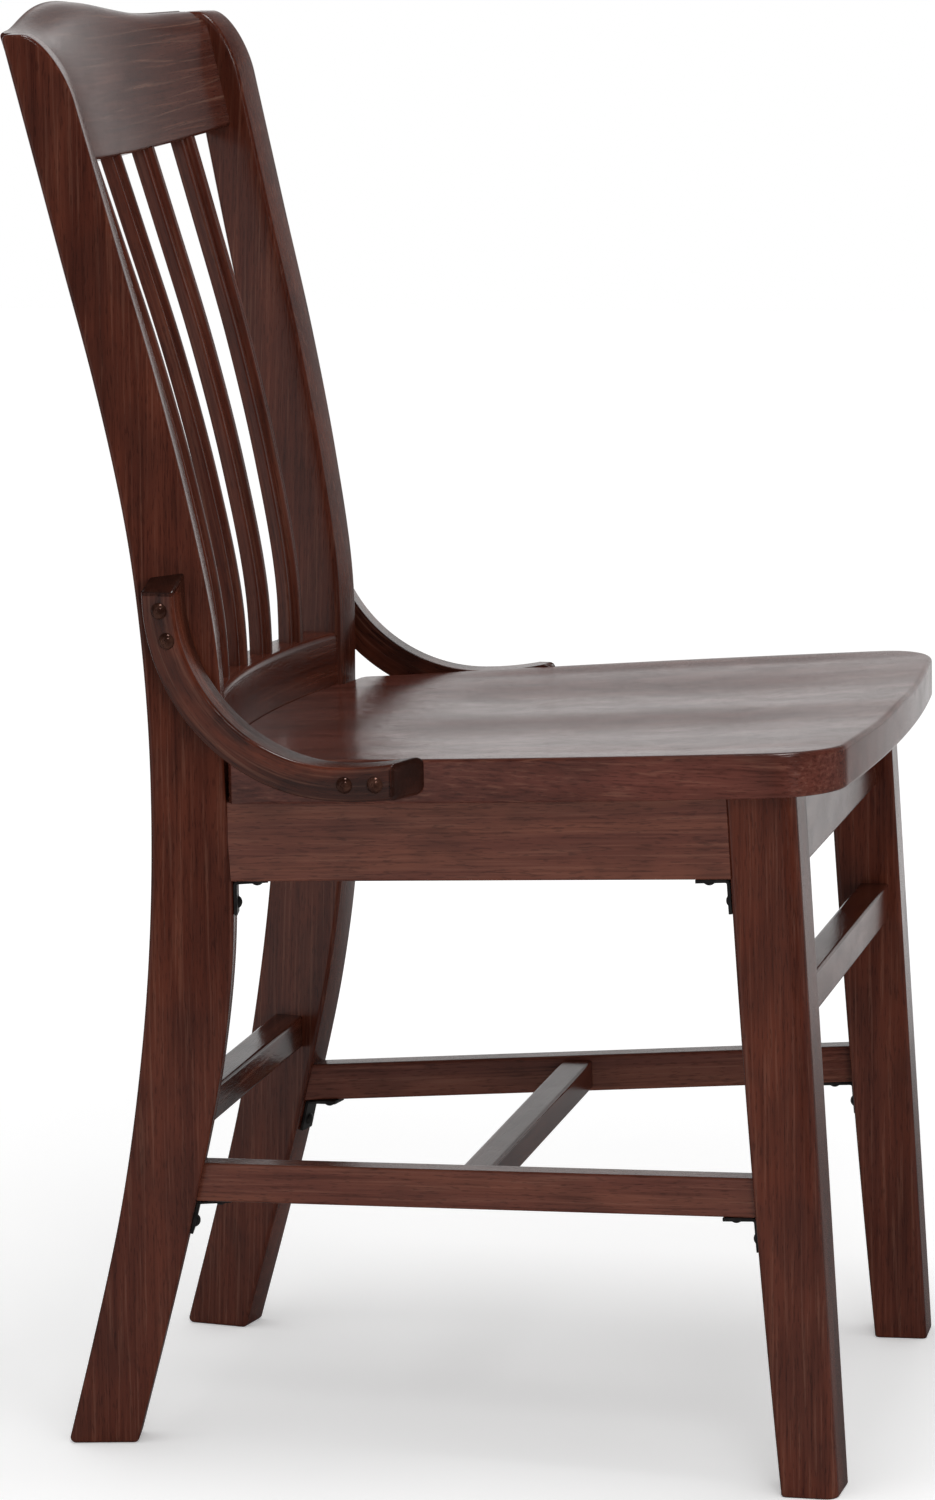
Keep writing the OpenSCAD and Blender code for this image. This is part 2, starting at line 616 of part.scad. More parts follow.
// Slats: equal gaps between the posts, each a moulded strip that follows the posts' curve
slat_count = 5;
slats = [for (i = [0:slat_count - 1]) i - (slat_count - 1) / 2];
slat_steps = 14;
slat_ease = 0.8;
bead_steps = 4;
bead_dip = 25;
slat_tenon_length = 8;
slat_tenon_size = [slat_width - 2 * tenon_shoulder, slat_flange - 2, slat_tenon_length];
function slat_set(z) =
    let (t = (z - rail_top) / (crest_bottom - rail_top))
    slat_low_set + (slat_high_set - slat_low_set) * t - 4 * slat_belly * t * (1 - t);
function slat_half(z) = post_side_x(post_inner_y(z) + slat_set(z), z);
function slat_x(k, z) = k * (2 * slat_half(z) + slat_width) / (slat_count + 1);
function slat_y(x, z) = post_inner_y(z) + slat_set(z) + (slat_half(z) ^ 2 - x ^ 2) / (2 * back_radius);
// Section of a slat: flat flanges with a round bead along the middle of the front
function slat_section() =
    let (h = slat_width / 2, r = slat_bead_half, g = slat_groove, e = slat_ease, f = slat_bead)
    concat(
        [[h, f + slat_flange - e], [h - e, f + slat_flange], [-h + e, f + slat_flange]],
        [[-h, f + slat_flange - e], [-h, f + e], [-h + e, f], [-r - g, f], [-r, f + g]],
        [for (i = [0:bead_steps])
            let (w = 180 - bead_dip - (180 - 2 * bead_dip) * i / bead_steps) [r * cos(w), f - f * sin(w)]],
        [[r, f + g], [r + g, f], [h - e, f], [h, f + e]]);
// Level of the crest rail's underside at a depth, over the slats
function crest_under_z(x, y) =
    let (v = x / crest_half)
    crest_bottom + crest_low(v) / cos(crest_lean) - (y - crest_foot[0]) * tan(crest_lean);
function slat_point(k, q, z) =
    let (x = slat_x(k, z), turn = asin(x / back_radius))
    [x + q[0] * cos(turn) + (q[1] - slat_bead) * sin(turn),
     slat_y(x, z) - q[0] * sin(turn) + (q[1] - slat_bead) * cos(turn), z];
// Frame on a slat's end: at the rail's top, or on the crest rail's underside
module slat_end(k, upper) {
    middle = [0, slat_bead + slat_flange / 2];
    guess = slat_point(k, middle, crest_bottom);
    high = slat_point(k, middle, crest_under_z(guess[0], guess[1]));
    root = upper
        ? [high[0], high[1], crest_under_z(high[0], high[1]) - fit]
        : slat_point(k, middle, rail_top + fit);
    translate(root)
        rotate([0, 0, -asin(root[0] / back_radius)])
            rotate([upper ? -crest_lean : 0, upper ? -crest_dip_turn(root[0]) : 0, 0])
                children();
}
function crest_dip_turn(x) = atan(2 * crest_dip * x / crest_half ^ 2);
module slat_tenon(k, upper, grow = 0) {
    size = slat_tenon_size + 2 * grow * [1, 1, 0.5];
    slat_end(k, upper)
        translate([-size[0] / 2, -size[1] / 2, upper ? -tenon_shoulder : -size[2]])
            cube([size[0], size[1], size[2] + tenon_shoulder]);
}
module back_slat(i) color(walnut) {
    k = slats[i - 1];
    low = rail_top - tenon_shoulder;
    rise = crest_bottom + slat_width / 2 - low;
    difference() {
        loft([for (j = [0:slat_steps]) [for (q = slat_section())
            slat_point(k, q, low + rise * j / slat_steps)]], true);
        slat_end(k, true) translate([-slat_width, -slat_width, 0]) cube(2 * slat_width);
        slat_end(k, false) translate([-slat_width, -slat_width, -2 * slat_width]) cube(2 * slat_width);
    }
    slat_tenon(k, true);
    slat_tenon(k, false);
}

// Seat outline, from the middle of the rear edge round the left side to the middle of the front
seat_level = under_z(post_y);
notch_x = post_point(post_front(seat_level), post_thickness, seat_level)[0] - fit;
seat_rear_y = post_front_y(seat_rear_width / 2, seat_level) - fit;
seat_side_end = -seat_front + seat_corner;
function seat_back_y(x) = rail_front_y(seat_level) + bow(rail_half, x / rail_half) - fit;
function seat_side(y) =
    let (t = (seat_rear_y - y) / (seat_rear_y - seat_side_end))
    (seat_rear_width + (seat_width - seat_rear_width) * t) / 2 + 4 * seat_side_bow * t * (1 - t);
function seat_side_slope(y) = (seat_side(y + 1) - seat_side(y - 1)) / 2;
function seat_nose(x) = -seat_front + seat_front_bow * (2 * x / seat_width) ^ 2;
function seat_nose_slope(x) = (seat_nose(x + 1) - seat_nose(x - 1)) / 2;
function corner_middle(p, i = 0) = i == 4 ? p : corner_middle([
    seat_side(p[1]) - seat_corner * norm([1, seat_side_slope(p[1])]),
    seat_nose(p[0]) + seat_corner * norm([1, seat_nose_slope(p[0])])], i + 1);
corner_at = corner_middle([seat_width / 2 - seat_corner, -seat_front + seat_corner]);
corner_from = -atan(seat_side_slope(corner_at[1]));
corner_to = atan(seat_nose_slope(corner_at[0])) - 90;
back_points = 6;
side_points = 12;
corner_points = 9;
nose_points = 7;
half_outline = concat(
    [for (i = [0:back_points]) let (x = notch_x * i / back_points) [x, seat_back_y(x)]],
    [[notch_x, post_front_y(notch_x, seat_level) - fit]],
    [for (i = [0:side_points - 1])
        let (end = corner_at[1] + seat_corner * sin(corner_from), t = i / side_points,
             y = seat_rear_y + (end - seat_rear_y) * t)
            [seat_side(y), y]],
    [for (i = [0:corner_points])
        let (w = corner_from + (corner_to - corner_from) * i / corner_points)
            corner_at + seat_corner * [cos(w), sin(w)]],
    [for (i = [1:nose_points])
        let (x = (corner_at[0] + seat_corner * cos(corner_to)) * (1 - i / nose_points))
            [x, seat_nose(x)]]);
seat_outline = concat(
    half_outline,
    [for (i = [len(half_outline) - 2:-1:1]) [-half_outline[i][0], half_outline[i][1]]]);
seat_ring = flip(seat_outline);

// The outline drawn in by a distance, and its share towards the seat's middle
seat_middle = [0, -70];
function drawn_in(e) = [
    for (i = [0:len(seat_ring) - 1])
        let (n = len(seat_ring), d = seat_ring[(i + 1) % n] - seat_ring[(i + n - 1) % n])
            seat_ring[i] - e * [d[1], -d[0]] / norm(d)];
function soft_step(t) = let (u = min(max(t, 0), 1)) u ^ 2 * (3 - 2 * u);
scoop_rear = 115;
scoop_full = -20;
nose_share = 0.55;
function scoop(x, y) =
    let (rear = soft_step((scoop_rear - y) / (scoop_rear - scoop_full)),
         nose = 1 - nose_share * soft_step((-y - seat_front * 0.62) / (seat_front * 0.38)),
         side = soft_step((seat_side(y) - abs(x)) / scoop_offset * 2))
    rear * nose * (scoop_depth * exp(-((abs(x) - scoop_offset) / scoop_spread) ^ 2) + dish_depth * side);
function seat_top(x, y) = seat_height - pitch_slope * y - scoop(x, y);
seat_rings = 11;
edge_rings = 3;
under_ease = 1.5;
function level_ring(outline, drop) = [for (p = outline) [p[0], p[1], seat_top(p[0], p[1]) - drop]];
function under_ring(outline, rise) = [for (p = outline) [p[0], p[1], under_z(p[1]) + rise]];
module seat_blank() loft(concat(
    [under_ring(drawn_in(under_ease), 0), under_ring(seat_ring, under_ease)],
    [for (i = [0:edge_rings])
        let (w = 90 * i / edge_rings)
            level_ring(drawn_in(seat_edge * (1 - cos(w))), seat_edge * (1 - sin(w)))],
    [for (i = [1:seat_rings])
        let (k = 1 - i / (seat_rings + 0.5))
            level_ring([for (p = drawn_in(seat_edge)) seat_middle + k * (p - seat_middle)], 0)]));
module seat() color(walnut) difference() {
    seat_blank();
    both_sides() {
        brace_screw_places() screw_bore(brace_screw_length);
        seat_screw_places() screw_bore(seat_screw_length);
    }
}

// Side braces: a flat curved band, bevelled at both ends, fitted to the post and the seat's side
brace_middle_z = brace_low + brace_band + brace_radius;
brace_rear_y = brace_y + brace_radius + brace_band / 4;
brace_x = seat_side(0) - brace_let;
brace_rear_x = post_side_x(brace_rear_y, brace_top - brace_band, 0) - brace_let;
brace_turn = atan((brace_x - brace_rear_x) / brace_rear_y);
module brace_frame() translate([brace_x, 0, 0]) rotate([0, 0, brace_turn]) children();
module brace_profile() {
    outer = brace_radius + brace_band;
    intersection() {
        difference() {
            circle(r = outer, $fn = 96);
            circle(r = brace_radius, $fn = 96);
        }
        translate([0, -outer]) square([outer, outer]);
    }
    translate([brace_radius, 0]) square([brace_band, brace_top]);
    difference() {
        intersection() {
            translate([-2 * brace_run, -outer]) square([2 * brace_run, 2 * brace_band]);
            translate([0, brace_under_flare - outer]) circle(r = brace_under_flare, $fn = 96);
        }
        translate([0, brace_flare - brace_radius]) circle(r = brace_flare, $fn = 96);
    }
}
module side_brace() color(dark_walnut) difference() {
    brace_frame() difference() {
        translate([0, brace_y, brace_middle_z])
            rotate([90, 0, 90])
                linear_extrude(brace_thickness) brace_profile();
        translate([0, 0, brace_low - 1])
            linear_extrude(big / 4) brace_end_cut(brace_y - brace_run, brace_bevel, -1);
        translate([0, big, 0])
            rotate([90, 0, 0])
                linear_extrude(2 * big) brace_end_cut(brace_top, brace_top_bevel, 1);
    }
    post_outer_side();
    translate([0, 0, brace_low - big / 10])
        linear_extrude(big / 4) polygon([for (p = drawn_in(-fit)) p]);
    brace_screw_places() screw_bore(brace_screw_length);
}
// What a bevelled end loses: all past a line that passes the outer face at a level
module brace_end_cut(level, slope, way) {
    t = brace_thickness + 1;
    polygon([[-1, level + way * t * tan(slope)], [t, level - way * tan(slope)],
             [t, level + way * big / 4], [-1, level + way * big / 4]]);
}
// All that lies inward of the post's outer face
module post_outer_side() {
    p = post_point(0, 0, 0);
    translate(p)
        rotate([0, 0, -post_toe])
            rotate([0, atan(splay_slope * cos(post_toe)), 0])
                translate([-big, -big / 2, -big / 4])
                    cube([big + fit, big, 2 * big]);
}

// Screws stand on their heads' seats, with the shank along -Z
head_share = 0.32;
module screw(head, length) {
    h = head * head_share;
    r = (head ^ 2 / 4 + h ^ 2) / (2 * h);
    intersection() {
        translate([0, 0, h - r]) sphere(r = r);
        cylinder(d = head, h = h);
    }
    translate([0, 0, -length]) cylinder(d = screw_diameter, h = length + h / 4);
}
bore_overrun = 1;
head_room = 12;
module screw_bore(length)
    translate([0, 0, -length - bore_overrun])
        cylinder(d = screw_diameter + 2 * fit, h = length + bore_overrun + head_room);

// Brace screws: two into the post, two into the seat's side
brace_screw_spots = [
    [brace_y + brace_radius + brace_band * 0.42, brace_top - 11],
    [brace_y + brace_radius + brace_band * 0.21, brace_top - 29],
    [brace_y - 6, brace_low + brace_band * 0.5],
    [brace_y - 25, brace_low + brace_band * 0.54]];
module brace_screw_places()
    for (s = brace_screw_spots)
        brace_frame()
            translate([brace_thickness, s[0] / cos(brace_turn), s[1]])
                rotate([0, 90, 0]) children();
module brace_screws() color(walnut)
    both_sides() brace_screw_places() screw(brace_head, brace_screw_length);

// Angle brackets under the side aprons and side stretchers, at both ends
bracket_bars = [["apron", true], ["apron", false], ["stretcher", true], ["stretcher", false]];
function bar_pitch(name) = name == "apron" ? seat_pitch : side_stretcher_pitch;
module bracket_places(bars = bracket_bars)
    for (b = bars) {
        rear = b[1];
        corner = bar_point(b[0], [bar_size(b[0])[0] / 2, bar_size(b[0])[1]], rear);
        low = corner[2] - bracket_leg;
        shift = rear
            ? post_front_y(corner[0], corner[2]) - post_front_y(corner[0], low)
            : leg_rear_y(corner[0], low) - leg_rear_y(corner[0], corner[2]);
        $pitch = rear ? bar_pitch(b[0]) : -bar_pitch(b[0]);
        $tilt = atan2(shift, bracket_leg);
        translate(corner) rotate([0, 0, rear ? 180 - post_toe : leg_turn]) children();
    }
module bracket_screw_places() {
    rotate([$pitch, 0, 0])
        translate([0, bracket_hole, -bracket_steel - fit]) rotate([180, 0, 0]) children();
    rotate([$tilt, 0, 0])
        translate([0, bracket_steel + fit, -bracket_hole]) rotate([-90, 0, 0]) children();
}
// Bent strip: one leg under the bar along a, the other down the post or leg along b
bend_radius = 3;
bend_steps = 5;
function turned(w) = [cos(w), sin(w)];
function meet(m, h, n, k) = [h * n[1] - k * m[1], m[0] * k - n[0] * h] / (m[0] * n[1] - m[1] * n[0]);
module bracket_profile() {
    a = turned($pitch);
    b = turned($tilt - 90);
    up = turned($pitch + 90);
    out = turned($tilt);
    middle = meet(up, -fit - bend_radius, out, fit + bend_radius);
    arc = function (r) [for (i = [0:bend_steps])
        middle + r * turned($pitch + 90 + (90 + $tilt - $pitch) * i / bend_steps)];
    polygon(concat(
        [bracket_leg * a - (fit + bracket_steel) * up, bracket_leg * a - fit * up],
        arc(bend_radius),
        [bracket_leg * b + fit * out, bracket_leg * b + (fit + bracket_steel) * out],
        flip(arc(bend_radius - bracket_steel))));
}
module angle_bracket() difference() {
    translate([-bracket_width / 2, 0, 0])
        rotate([90, 0, 90])
            linear_extrude(bracket_width) bracket_profile();
    bracket_screw_places()
        translate([0, 0, -bracket_steel * 2]) cylinder(d = screw_diameter + 4 * fit, h = bracket_steel * 3);
}
module apron_brackets() color(steel)
    both_sides() bracket_places([for (i = [0:1]) bracket_bars[i]]) angle_bracket();
module stretcher_brackets() color(steel)
    both_sides() bracket_places([for (i = [2:3]) bracket_bars[i]]) angle_bracket();
module bracket_screws() color(steel)
    both_sides() bracket_places() bracket_screw_places() screw(bracket_head, bracket_screw_length);

// Corner blocks inside the aprons, notched round the leg or the post
block_screw_bite = 9;
seat_screw_bite = 17;
seat_screw_length = block_height + seat_screw_bite;
block_gap = 0.3;
// Block corners: [post or leg corner, apron side, cross apron side], all in plan
function block_frame(rear) =
    let (z = under_z(rear ? post_y : -leg_y) - block_height / 2,
         k = rear ? post_point(post_front(z), post_thickness, z)
                  : leg_point(leg_rear(z), leg_width, z),
         way = rear ? -1 : 1)
    [[k[0], k[1]], way, rear ? rear_apron_y : front_apron_y + apron_thickness, z];
function block_outline(rear) =
    let (f = block_frame(rear), k = f[0], way = f[1], far = k[1] + way * block_reach,
         side_x = function (y) apron_x(y) - apron_thickness / cos(atan(apron_plan_slope)) - block_gap,
         near = rear ? post_front_y(side_x(k[1]), f[3] - block_height) - 2 * block_gap : k[1] + 3 * block_gap,
         cross = f[2] + (rear ? -1 : 1) * block_gap)
    [[side_x(near), near], [side_x(far), far], [k[0] - block_reach, cross],
     [k[0] - 3 * block_gap - 1, cross], [k[0] - 3 * block_gap - 1, k[1] + way * 3 * block_gap]];
module under_slab(h)
    translate([0, 0, under_z(0)])
        rotate([-seat_pitch, 0, 0])
            translate([-big / 2, -big / 2, -h])
                cube([big, big, h]);
module corner_block(rear) difference() {
    intersection() {
        translate([0, 0, under_z(0) - 3 * block_height]) linear_extrude(big / 4) polygon(block_outline(rear));
        under_slab(block_height);
    }
    block_screw_places([rear]) screw_bore(block_screw_length(rear));
    seat_screw_places([rear]) screw_bore(seat_screw_length);
}
module corner_blocks() color(walnut) both_sides() {
    corner_block(true);
    corner_block(false);
}
// Frame on the middle of a block's sloping face: Z out of the face, X along it
module block_face(rear) {
    o = block_outline(rear);
    d = o[1] - o[2];
    m = (o[1] + o[2]) / 2;
    z = under_z(m[1]) - block_height / 2;
    translate([m[0], m[1], z])
        rotate([0, 0, atan2(d[1], d[0])])
            rotate([rear ? 90 : -90, 0, 0])
                children();
}
module block_screw_places(ends) for (rear = ends) block_face(rear) children();
// Length from the middle of the block's face to the level of the corner behind it, and a bite past that
function block_screw_length(rear) =
    let (o = block_outline(rear), d = o[1] - o[2], m = (o[1] + o[2]) / 2, k = block_frame(rear)[0])
    abs(d[0] * (k[1] - m[1]) - d[1] * (k[0] - m[0])) / norm(d) + block_screw_bite;
module block_screws() color(steel) both_sides()
    for (rear = [true, false])
        block_screw_places([rear]) screw(bracket_head, block_screw_length(rear));
seat_screw_side = 15;
seat_screw_in = 8;
module seat_screw_places(ends = [true, false])
    for (rear = ends) {
        o = block_outline(rear);
        d = (o[1] - o[2]) / norm(o[1] - o[2]);
        inward = (rear ? 1 : -1) * [-d[1], d[0]];
        p = (o[1] + o[2]) / 2 + seat_screw_side * d + seat_screw_in * inward;
        translate([p[0], p[1], under_z(p[1])])
            rotate([-seat_pitch, 0, 0])
                translate([0, 0, -block_height])
                    rotate([180, 0, 0]) children();
    }
module seat_screws() color(steel) both_sides() seat_screw_places() screw(bracket_head, seat_screw_length);

seat();
mirror([1, 0, 0]) back_post();  // back_post_right
back_post();  // back_post_left
mirror([1, 0, 0]) front_leg();  // front_leg_right
front_leg();  // front_leg_left
crest_rail();
lower_back_rail();
back_slat(1);  // back_slat_1
back_slat(2);  // back_slat_2
back_slat(3);  // back_slat_3
back_slat(4);  // back_slat_4
back_slat(5);  // back_slat_5
mirror([1, 0, 0]) side_apron();  // side_apron_right
side_apron();  // side_apron_left
front_apron();
rear_apron();
mirror([1, 0, 0]) side_stretcher();  // side_stretcher_right
side_stretcher();  // side_stretcher_left
front_stretcher();
rear_stretcher();
centre_stretcher();
mirror([1, 0, 0]) side_brace();  // side_brace_right
side_brace();  // side_brace_left
brace_screws();
apron_brackets();
stretcher_brackets();
bracket_screws();
corner_blocks();
block_screws();
seat_screws();
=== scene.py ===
# Looks for a schoolhouse chair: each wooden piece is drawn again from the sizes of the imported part
import math

import bmesh
import bpy
import numpy as np
from mathutils import Matrix


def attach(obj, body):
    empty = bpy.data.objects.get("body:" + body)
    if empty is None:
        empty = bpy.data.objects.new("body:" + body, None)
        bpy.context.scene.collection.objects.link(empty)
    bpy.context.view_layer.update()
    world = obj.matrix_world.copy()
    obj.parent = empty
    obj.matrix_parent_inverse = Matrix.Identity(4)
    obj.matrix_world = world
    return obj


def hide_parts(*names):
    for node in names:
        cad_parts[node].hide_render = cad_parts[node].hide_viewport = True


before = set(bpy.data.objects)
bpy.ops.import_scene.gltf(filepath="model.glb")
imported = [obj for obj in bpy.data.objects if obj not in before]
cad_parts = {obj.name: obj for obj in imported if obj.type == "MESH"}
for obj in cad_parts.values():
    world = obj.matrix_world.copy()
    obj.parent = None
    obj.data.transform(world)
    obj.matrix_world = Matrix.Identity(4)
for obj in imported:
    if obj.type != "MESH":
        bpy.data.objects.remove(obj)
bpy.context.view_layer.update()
print("frame loaded:", len(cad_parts), "nodes")

mm = 0.001
intoNeighbour = 1.0  # mm that a shoulder runs on into its neighbour, so that no slit of light shows
cutRings = 4  # outermost rings of an eased end, which show end grain
pieceCount = 0


# small helpers

def addObject(name, data):
    thing = bpy.data.objects.new(name, data)
    bpy.context.scene.collection.objects.link(thing)
    return thing


def curve(table, x):
    # smooth line through [place, value] rows: each slope is that of its two neighbours
    t = np.array(table, float)
    x = np.asarray(x, float)
    k = np.arange(len(t))
    low, high = np.maximum(k - 1, 0), np.minimum(k + 1, len(t) - 1)
    slope = (t[high, 1] - t[low, 1]) / (t[high, 0] - t[low, 0])
    i = np.clip(np.searchsorted(t[:, 0], x, side="right") - 1, 0, len(t) - 2)
    h = t[i + 1, 0] - t[i, 0]
    u = (x - t[i, 0]) / h
    return ((2 * u**3 - 3 * u**2 + 1) * t[i, 1] + (u**3 - 2 * u**2 + u) * h * slope[i]
            + (3 * u**2 - 2 * u**3) * t[i + 1, 1] + (u**3 - u**2) * h * slope[i + 1])


def conic(a, b, c, weight, t):
    # from a to c, leaning towards b: the three points averaged by (1-t)^2, 2wt(1-t) and t^2
    t = np.asarray(t, float)[:, None]
    k = [(1 - t) ** 2, 2 * weight * t * (1 - t), t**2]
    a, b, c = (np.asarray(p, float) for p in (a, b, c))
    return (k[0] * a + k[1] * b + k[2] * c) / (k[0] + k[1] + k[2])


def roundedLoop(low, high, radii, steps=6, support=0.7):
    # rectangle with rounded corners, walked from its low corner; a point just before and after
    # each arc keeps the flat sides flat when they are shaded smoothly
    x0, y0, x1, y1 = low[0], low[1], high[0], high[1]
    points = []
    for x, y, start, r in ((x0, y0, 180, radii[0]), (x1, y0, 270, radii[1]),
                           (x1, y1, 0, radii[2]), (x0, y1, 90, radii[3])):
        m = np.array([x + (r if x == x0 else -r), y + (r if y == y0 else -r)])
        w = np.radians(start + 90 * np.arange(steps + 1) / steps)
        arc = m + r * np.stack([np.cos(w), np.sin(w)], -1)
        before = np.array([-math.sin(w[0]), math.cos(w[0])]) * support
        after = np.array([-math.sin(w[-1]), math.cos(w[-1])]) * support
        points += [arc[0] - before, *arc, arc[-1] + after]
    return np.array(points)


def ringCentre(ring):
    return (ring.min(0) + ring.max(0)) / 2


def easeEnd(rings, grain, last, radius, steps=4, flat=2.2):
    # swaps one end ring for a few that round the end over: each is drawn in and moved outward,
    # and one more, flat times the radius in, keeps the end itself flat when it is shaded
    ring, tone = (rings[-1], grain[-1]) if last else (rings[0], grain[0])
    near = rings[-2] if last else rings[1]
    middle = ringCentre(ring)
    out = middle - ringCentre(near)
    out /= np.linalg.norm(out)
    normal = np.cross(ring - middle, np.roll(ring, -1, 0) - middle).sum(0)
    normal /= np.linalg.norm(normal)
    normal *= np.sign(normal @ out)
    arm = ring - middle
    arm -= (arm @ normal)[:, None] * normal
    reach = np.linalg.norm(arm, axis=1)[:, None]
    new = []
    for w in np.radians(90 * np.arange(steps + 1) / steps):
        drawnIn = arm * (1 - radius * (1 - math.cos(w)) / reach)
        new.append(middle + drawnIn + (ring - middle - arm)
                   - out * radius * (1 - math.sin(w)))
    new.append(middle + arm * (1 - flat * radius / reach) + (ring - middle - arm))
    new = np.array(new)
    tones = np.repeat(tone[None], len(new), 0)
    if last:
        return np.concatenate([rings[:-1], new]), np.concatenate([grain[:-1], tones])
    return np.concatenate([new[::-1], rings[1:]]), np.concatenate([tones[::-1], grain[1:]])


def buildMesh(name, points, quads, caps, grain=None, cut=None):
    # mesh in metres from points in mm, its faces turned outward by the sign of its volume;
    # cut is 1 where a point lies on end grain
    fans = [np.stack([np.full(len(c) - 2, c[0]), c[1:-1], c[2:]], -1) for c in caps]
    tris = np.concatenate([quads[:, [0, 1, 2]], quads[:, [0, 2, 3]], *fans])
    p = points[tris]
    if np.einsum("ij,ij->i", p[:, 0], np.cross(p[:, 1], p[:, 2])).sum() < 0:
        quads = quads[:, ::-1]
        caps = [c[::-1] for c in caps]
    sizes = np.array([4] * len(quads) + [len(c) for c in caps])
    mesh = bpy.data.meshes.new(name)
    mesh.vertices.add(len(points))
    mesh.vertices.foreach_set("co", (points * mm).ravel())
    mesh.loops.add(int(sizes.sum()))
    mesh.loops.foreach_set("vertex_index", np.concatenate([quads.ravel(), *caps]).astype(np.int32))
    mesh.polygons.add(len(sizes))
    mesh.polygons.foreach_set("loop_start", np.concatenate([[0], np.cumsum(sizes)[:-1]]))
    mesh.update(calc_edges=True)
    mesh.validate()
    mesh.shade_smooth()
    mesh.set_sharp_from_angle(angle=math.radians(35))
    if grain is not None:
        attribute = mesh.attributes.new("grain", "FLOAT_VECTOR", "POINT")
        attribute.data.foreach_set("vector", (grain * mm).astype(np.float32).ravel())
        attribute = mesh.attributes.new("cut", "FLOAT", "POINT")
        attribute.data.foreach_set("value", cut.astype(np.float32))
    return addObject(name, mesh)


def ringFaces(n, m):
    # quads between n rings of m points, and the two end faces
    index = np.arange(n * m).reshape(n, m)
    ahead = np.roll(index, -1, 1)
    quads = np.stack([index[:-1], ahead[:-1], ahead[1:], index[1:]], -1).reshape(-1, 4)
    return quads, [index[0][::-1], index[-1]]


def zipped(ring):
    # quads across a long thin ring, from its first and last points to its middle
    half = len(ring) // 2
    i = np.arange(half - 1)
    return np.stack([ring[i], ring[i + 1], ring[-2 - i], ring[-1 - i]], -1)


def loft(name, rings, grain, ease=(0, 0), mirrored=False, longEnds=False):
    # closed skin over rows of equal rings; grain holds each point's place along, across and
    # through the board, moved on for each piece so that no two show the same figure
    global pieceCount
    pieceCount += 1
    rings = np.array(rings, float)
    grain = np.array(grain, float)
    for last in (0, 1):
        if ease[last]:
            rings, grain = easeEnd(rings, grain, last, ease[last])
    cut = np.zeros(rings.shape[:2])
    if ease[0]:
        cut[:cutRings] = 1
    if ease[1]:
        cut[-cutRings:] = 1
    if mirrored:
        rings[..., 0] *= -1
    quads, caps = ringFaces(*rings.shape[:2])
    if longEnds:
        quads = np.concatenate([quads, *[zipped(c) for c in caps]])
        caps = []
    grain = grain.reshape(-1, 3) + pieceCount * np.array([1370.0, 211.0, 89.0])
    return buildMesh(name, rings.reshape(-1, 3), quads, caps, grain, cut.ravel())


def dress(piece, material, nodes):
    piece.data.materials.clear()
    piece.data.materials.append(material)
    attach(piece, "root")
    for node in nodes:
        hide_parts(node)
    return piece


# materials

def colour(hexText):
    # sRGB hex to linear
    c = np.array([int(hexText[i:i + 2], 16) for i in (1, 3, 5)]) / 255
    linear = np.where(c <= 0.04045, c / 12.92, ((c + 0.055) / 1.055) ** 2.4)
    return (*(float(v) for v in linear), 1.0)


smooth = {"interpolation_type": "SMOOTHSTEP"}  # for value, from low, from high, to low, to high
times, plus, less = ({"operation": name} for name in ("MULTIPLY", "ADD", "SUBTRACT"))


def addNode(tree, kind, settings=None, inputs=(), out=0):
    # one node with its settings; its inputs, listed in order or by key, are values or outputs
    node = tree.nodes.new("ShaderNode" + kind)
    for key, value in (settings or {}).items():
        setattr(node, key, value)
    for key, value in inputs.items() if isinstance(inputs, dict) else enumerate(inputs):
        if isinstance(value, bpy.types.NodeSocket):
            tree.links.new(value, node.inputs[key])
        else:
            node.inputs[key].default_value = value
    return node.outputs[out] if node.outputs else None


def newMaterial(name):
    material = bpy.data.materials.new(name)
    material.use_nodes = True
    material.node_tree.nodes.clear()
    return material, material.node_tree


def noiseLayers(tree, place, table):
    # a noise for each row: the sizes of its blotches in mm on each axis, its detail and distortion
    layers = {}
    for name, (sizes, detail, distortion) in table.items():
        scale = [1 / (size * mm) for size in sizes]
        stretched = addNode(tree, "Mapping", {}, {"Vector": place, "Scale": scale})
        layers[name] = addNode(tree, "TexNoise", {}, {
            "Vector": stretched, "Scale": 1.0, "Detail": detail, "Distortion": distortion})
    return layers


def layTints(tree, tone, noise, rows):
    # over the tone, row by row: a noise, where it starts and ends, its share, the mode, the tint
    for source, low, high, share, mode, tint in rows:
        factor = addNode(tree, "MapRange", smooth, [noise[source], low, high, 0, share])
        tone = addNode(tree, "Mix", {"data_type": "RGBA", "blend_type": mode},
                       {0: factor, 6: tone, 7: colour(tint)}, 2)
    return tone


# sizes in mm are along, across and through the board; the tints lie over the stain
beech = {
    "noise": {
        "figure": [(285.7, 18.18, 18.18), 3.0, 0.7],
        "lines": [(76.92, 1.923, 1.923), 2.0, 0.3],
        # real flecks are about 0.5 mm wide; they are drawn wider to show at this distance
        "flecks": [(7.692, 0.8696, 0.8696), 1.0, 0.0],
        "blotches": [(41.67, 26.32, 26.32), 2.0, 0.4],
        "bend": [(200.0, 41.67, 41.67), 1.0, 0.0],
    },
    "lineTint": "#8c7468", "crestTint": "#9a6c58", "crestShare": 0.35, "fleckTint": "#5f4a42",
    "fleckShare": 0.35, "ringTint": "#9a7a68", "ringSpacing": 11.22, "ringBend": 18.0,
    "endTint": "#22100b", "endShare": 0.8, "bump": 0.2, "bumpDepth": 0.3, "glossRange": 0.04,
    "specular": 0.5,
}


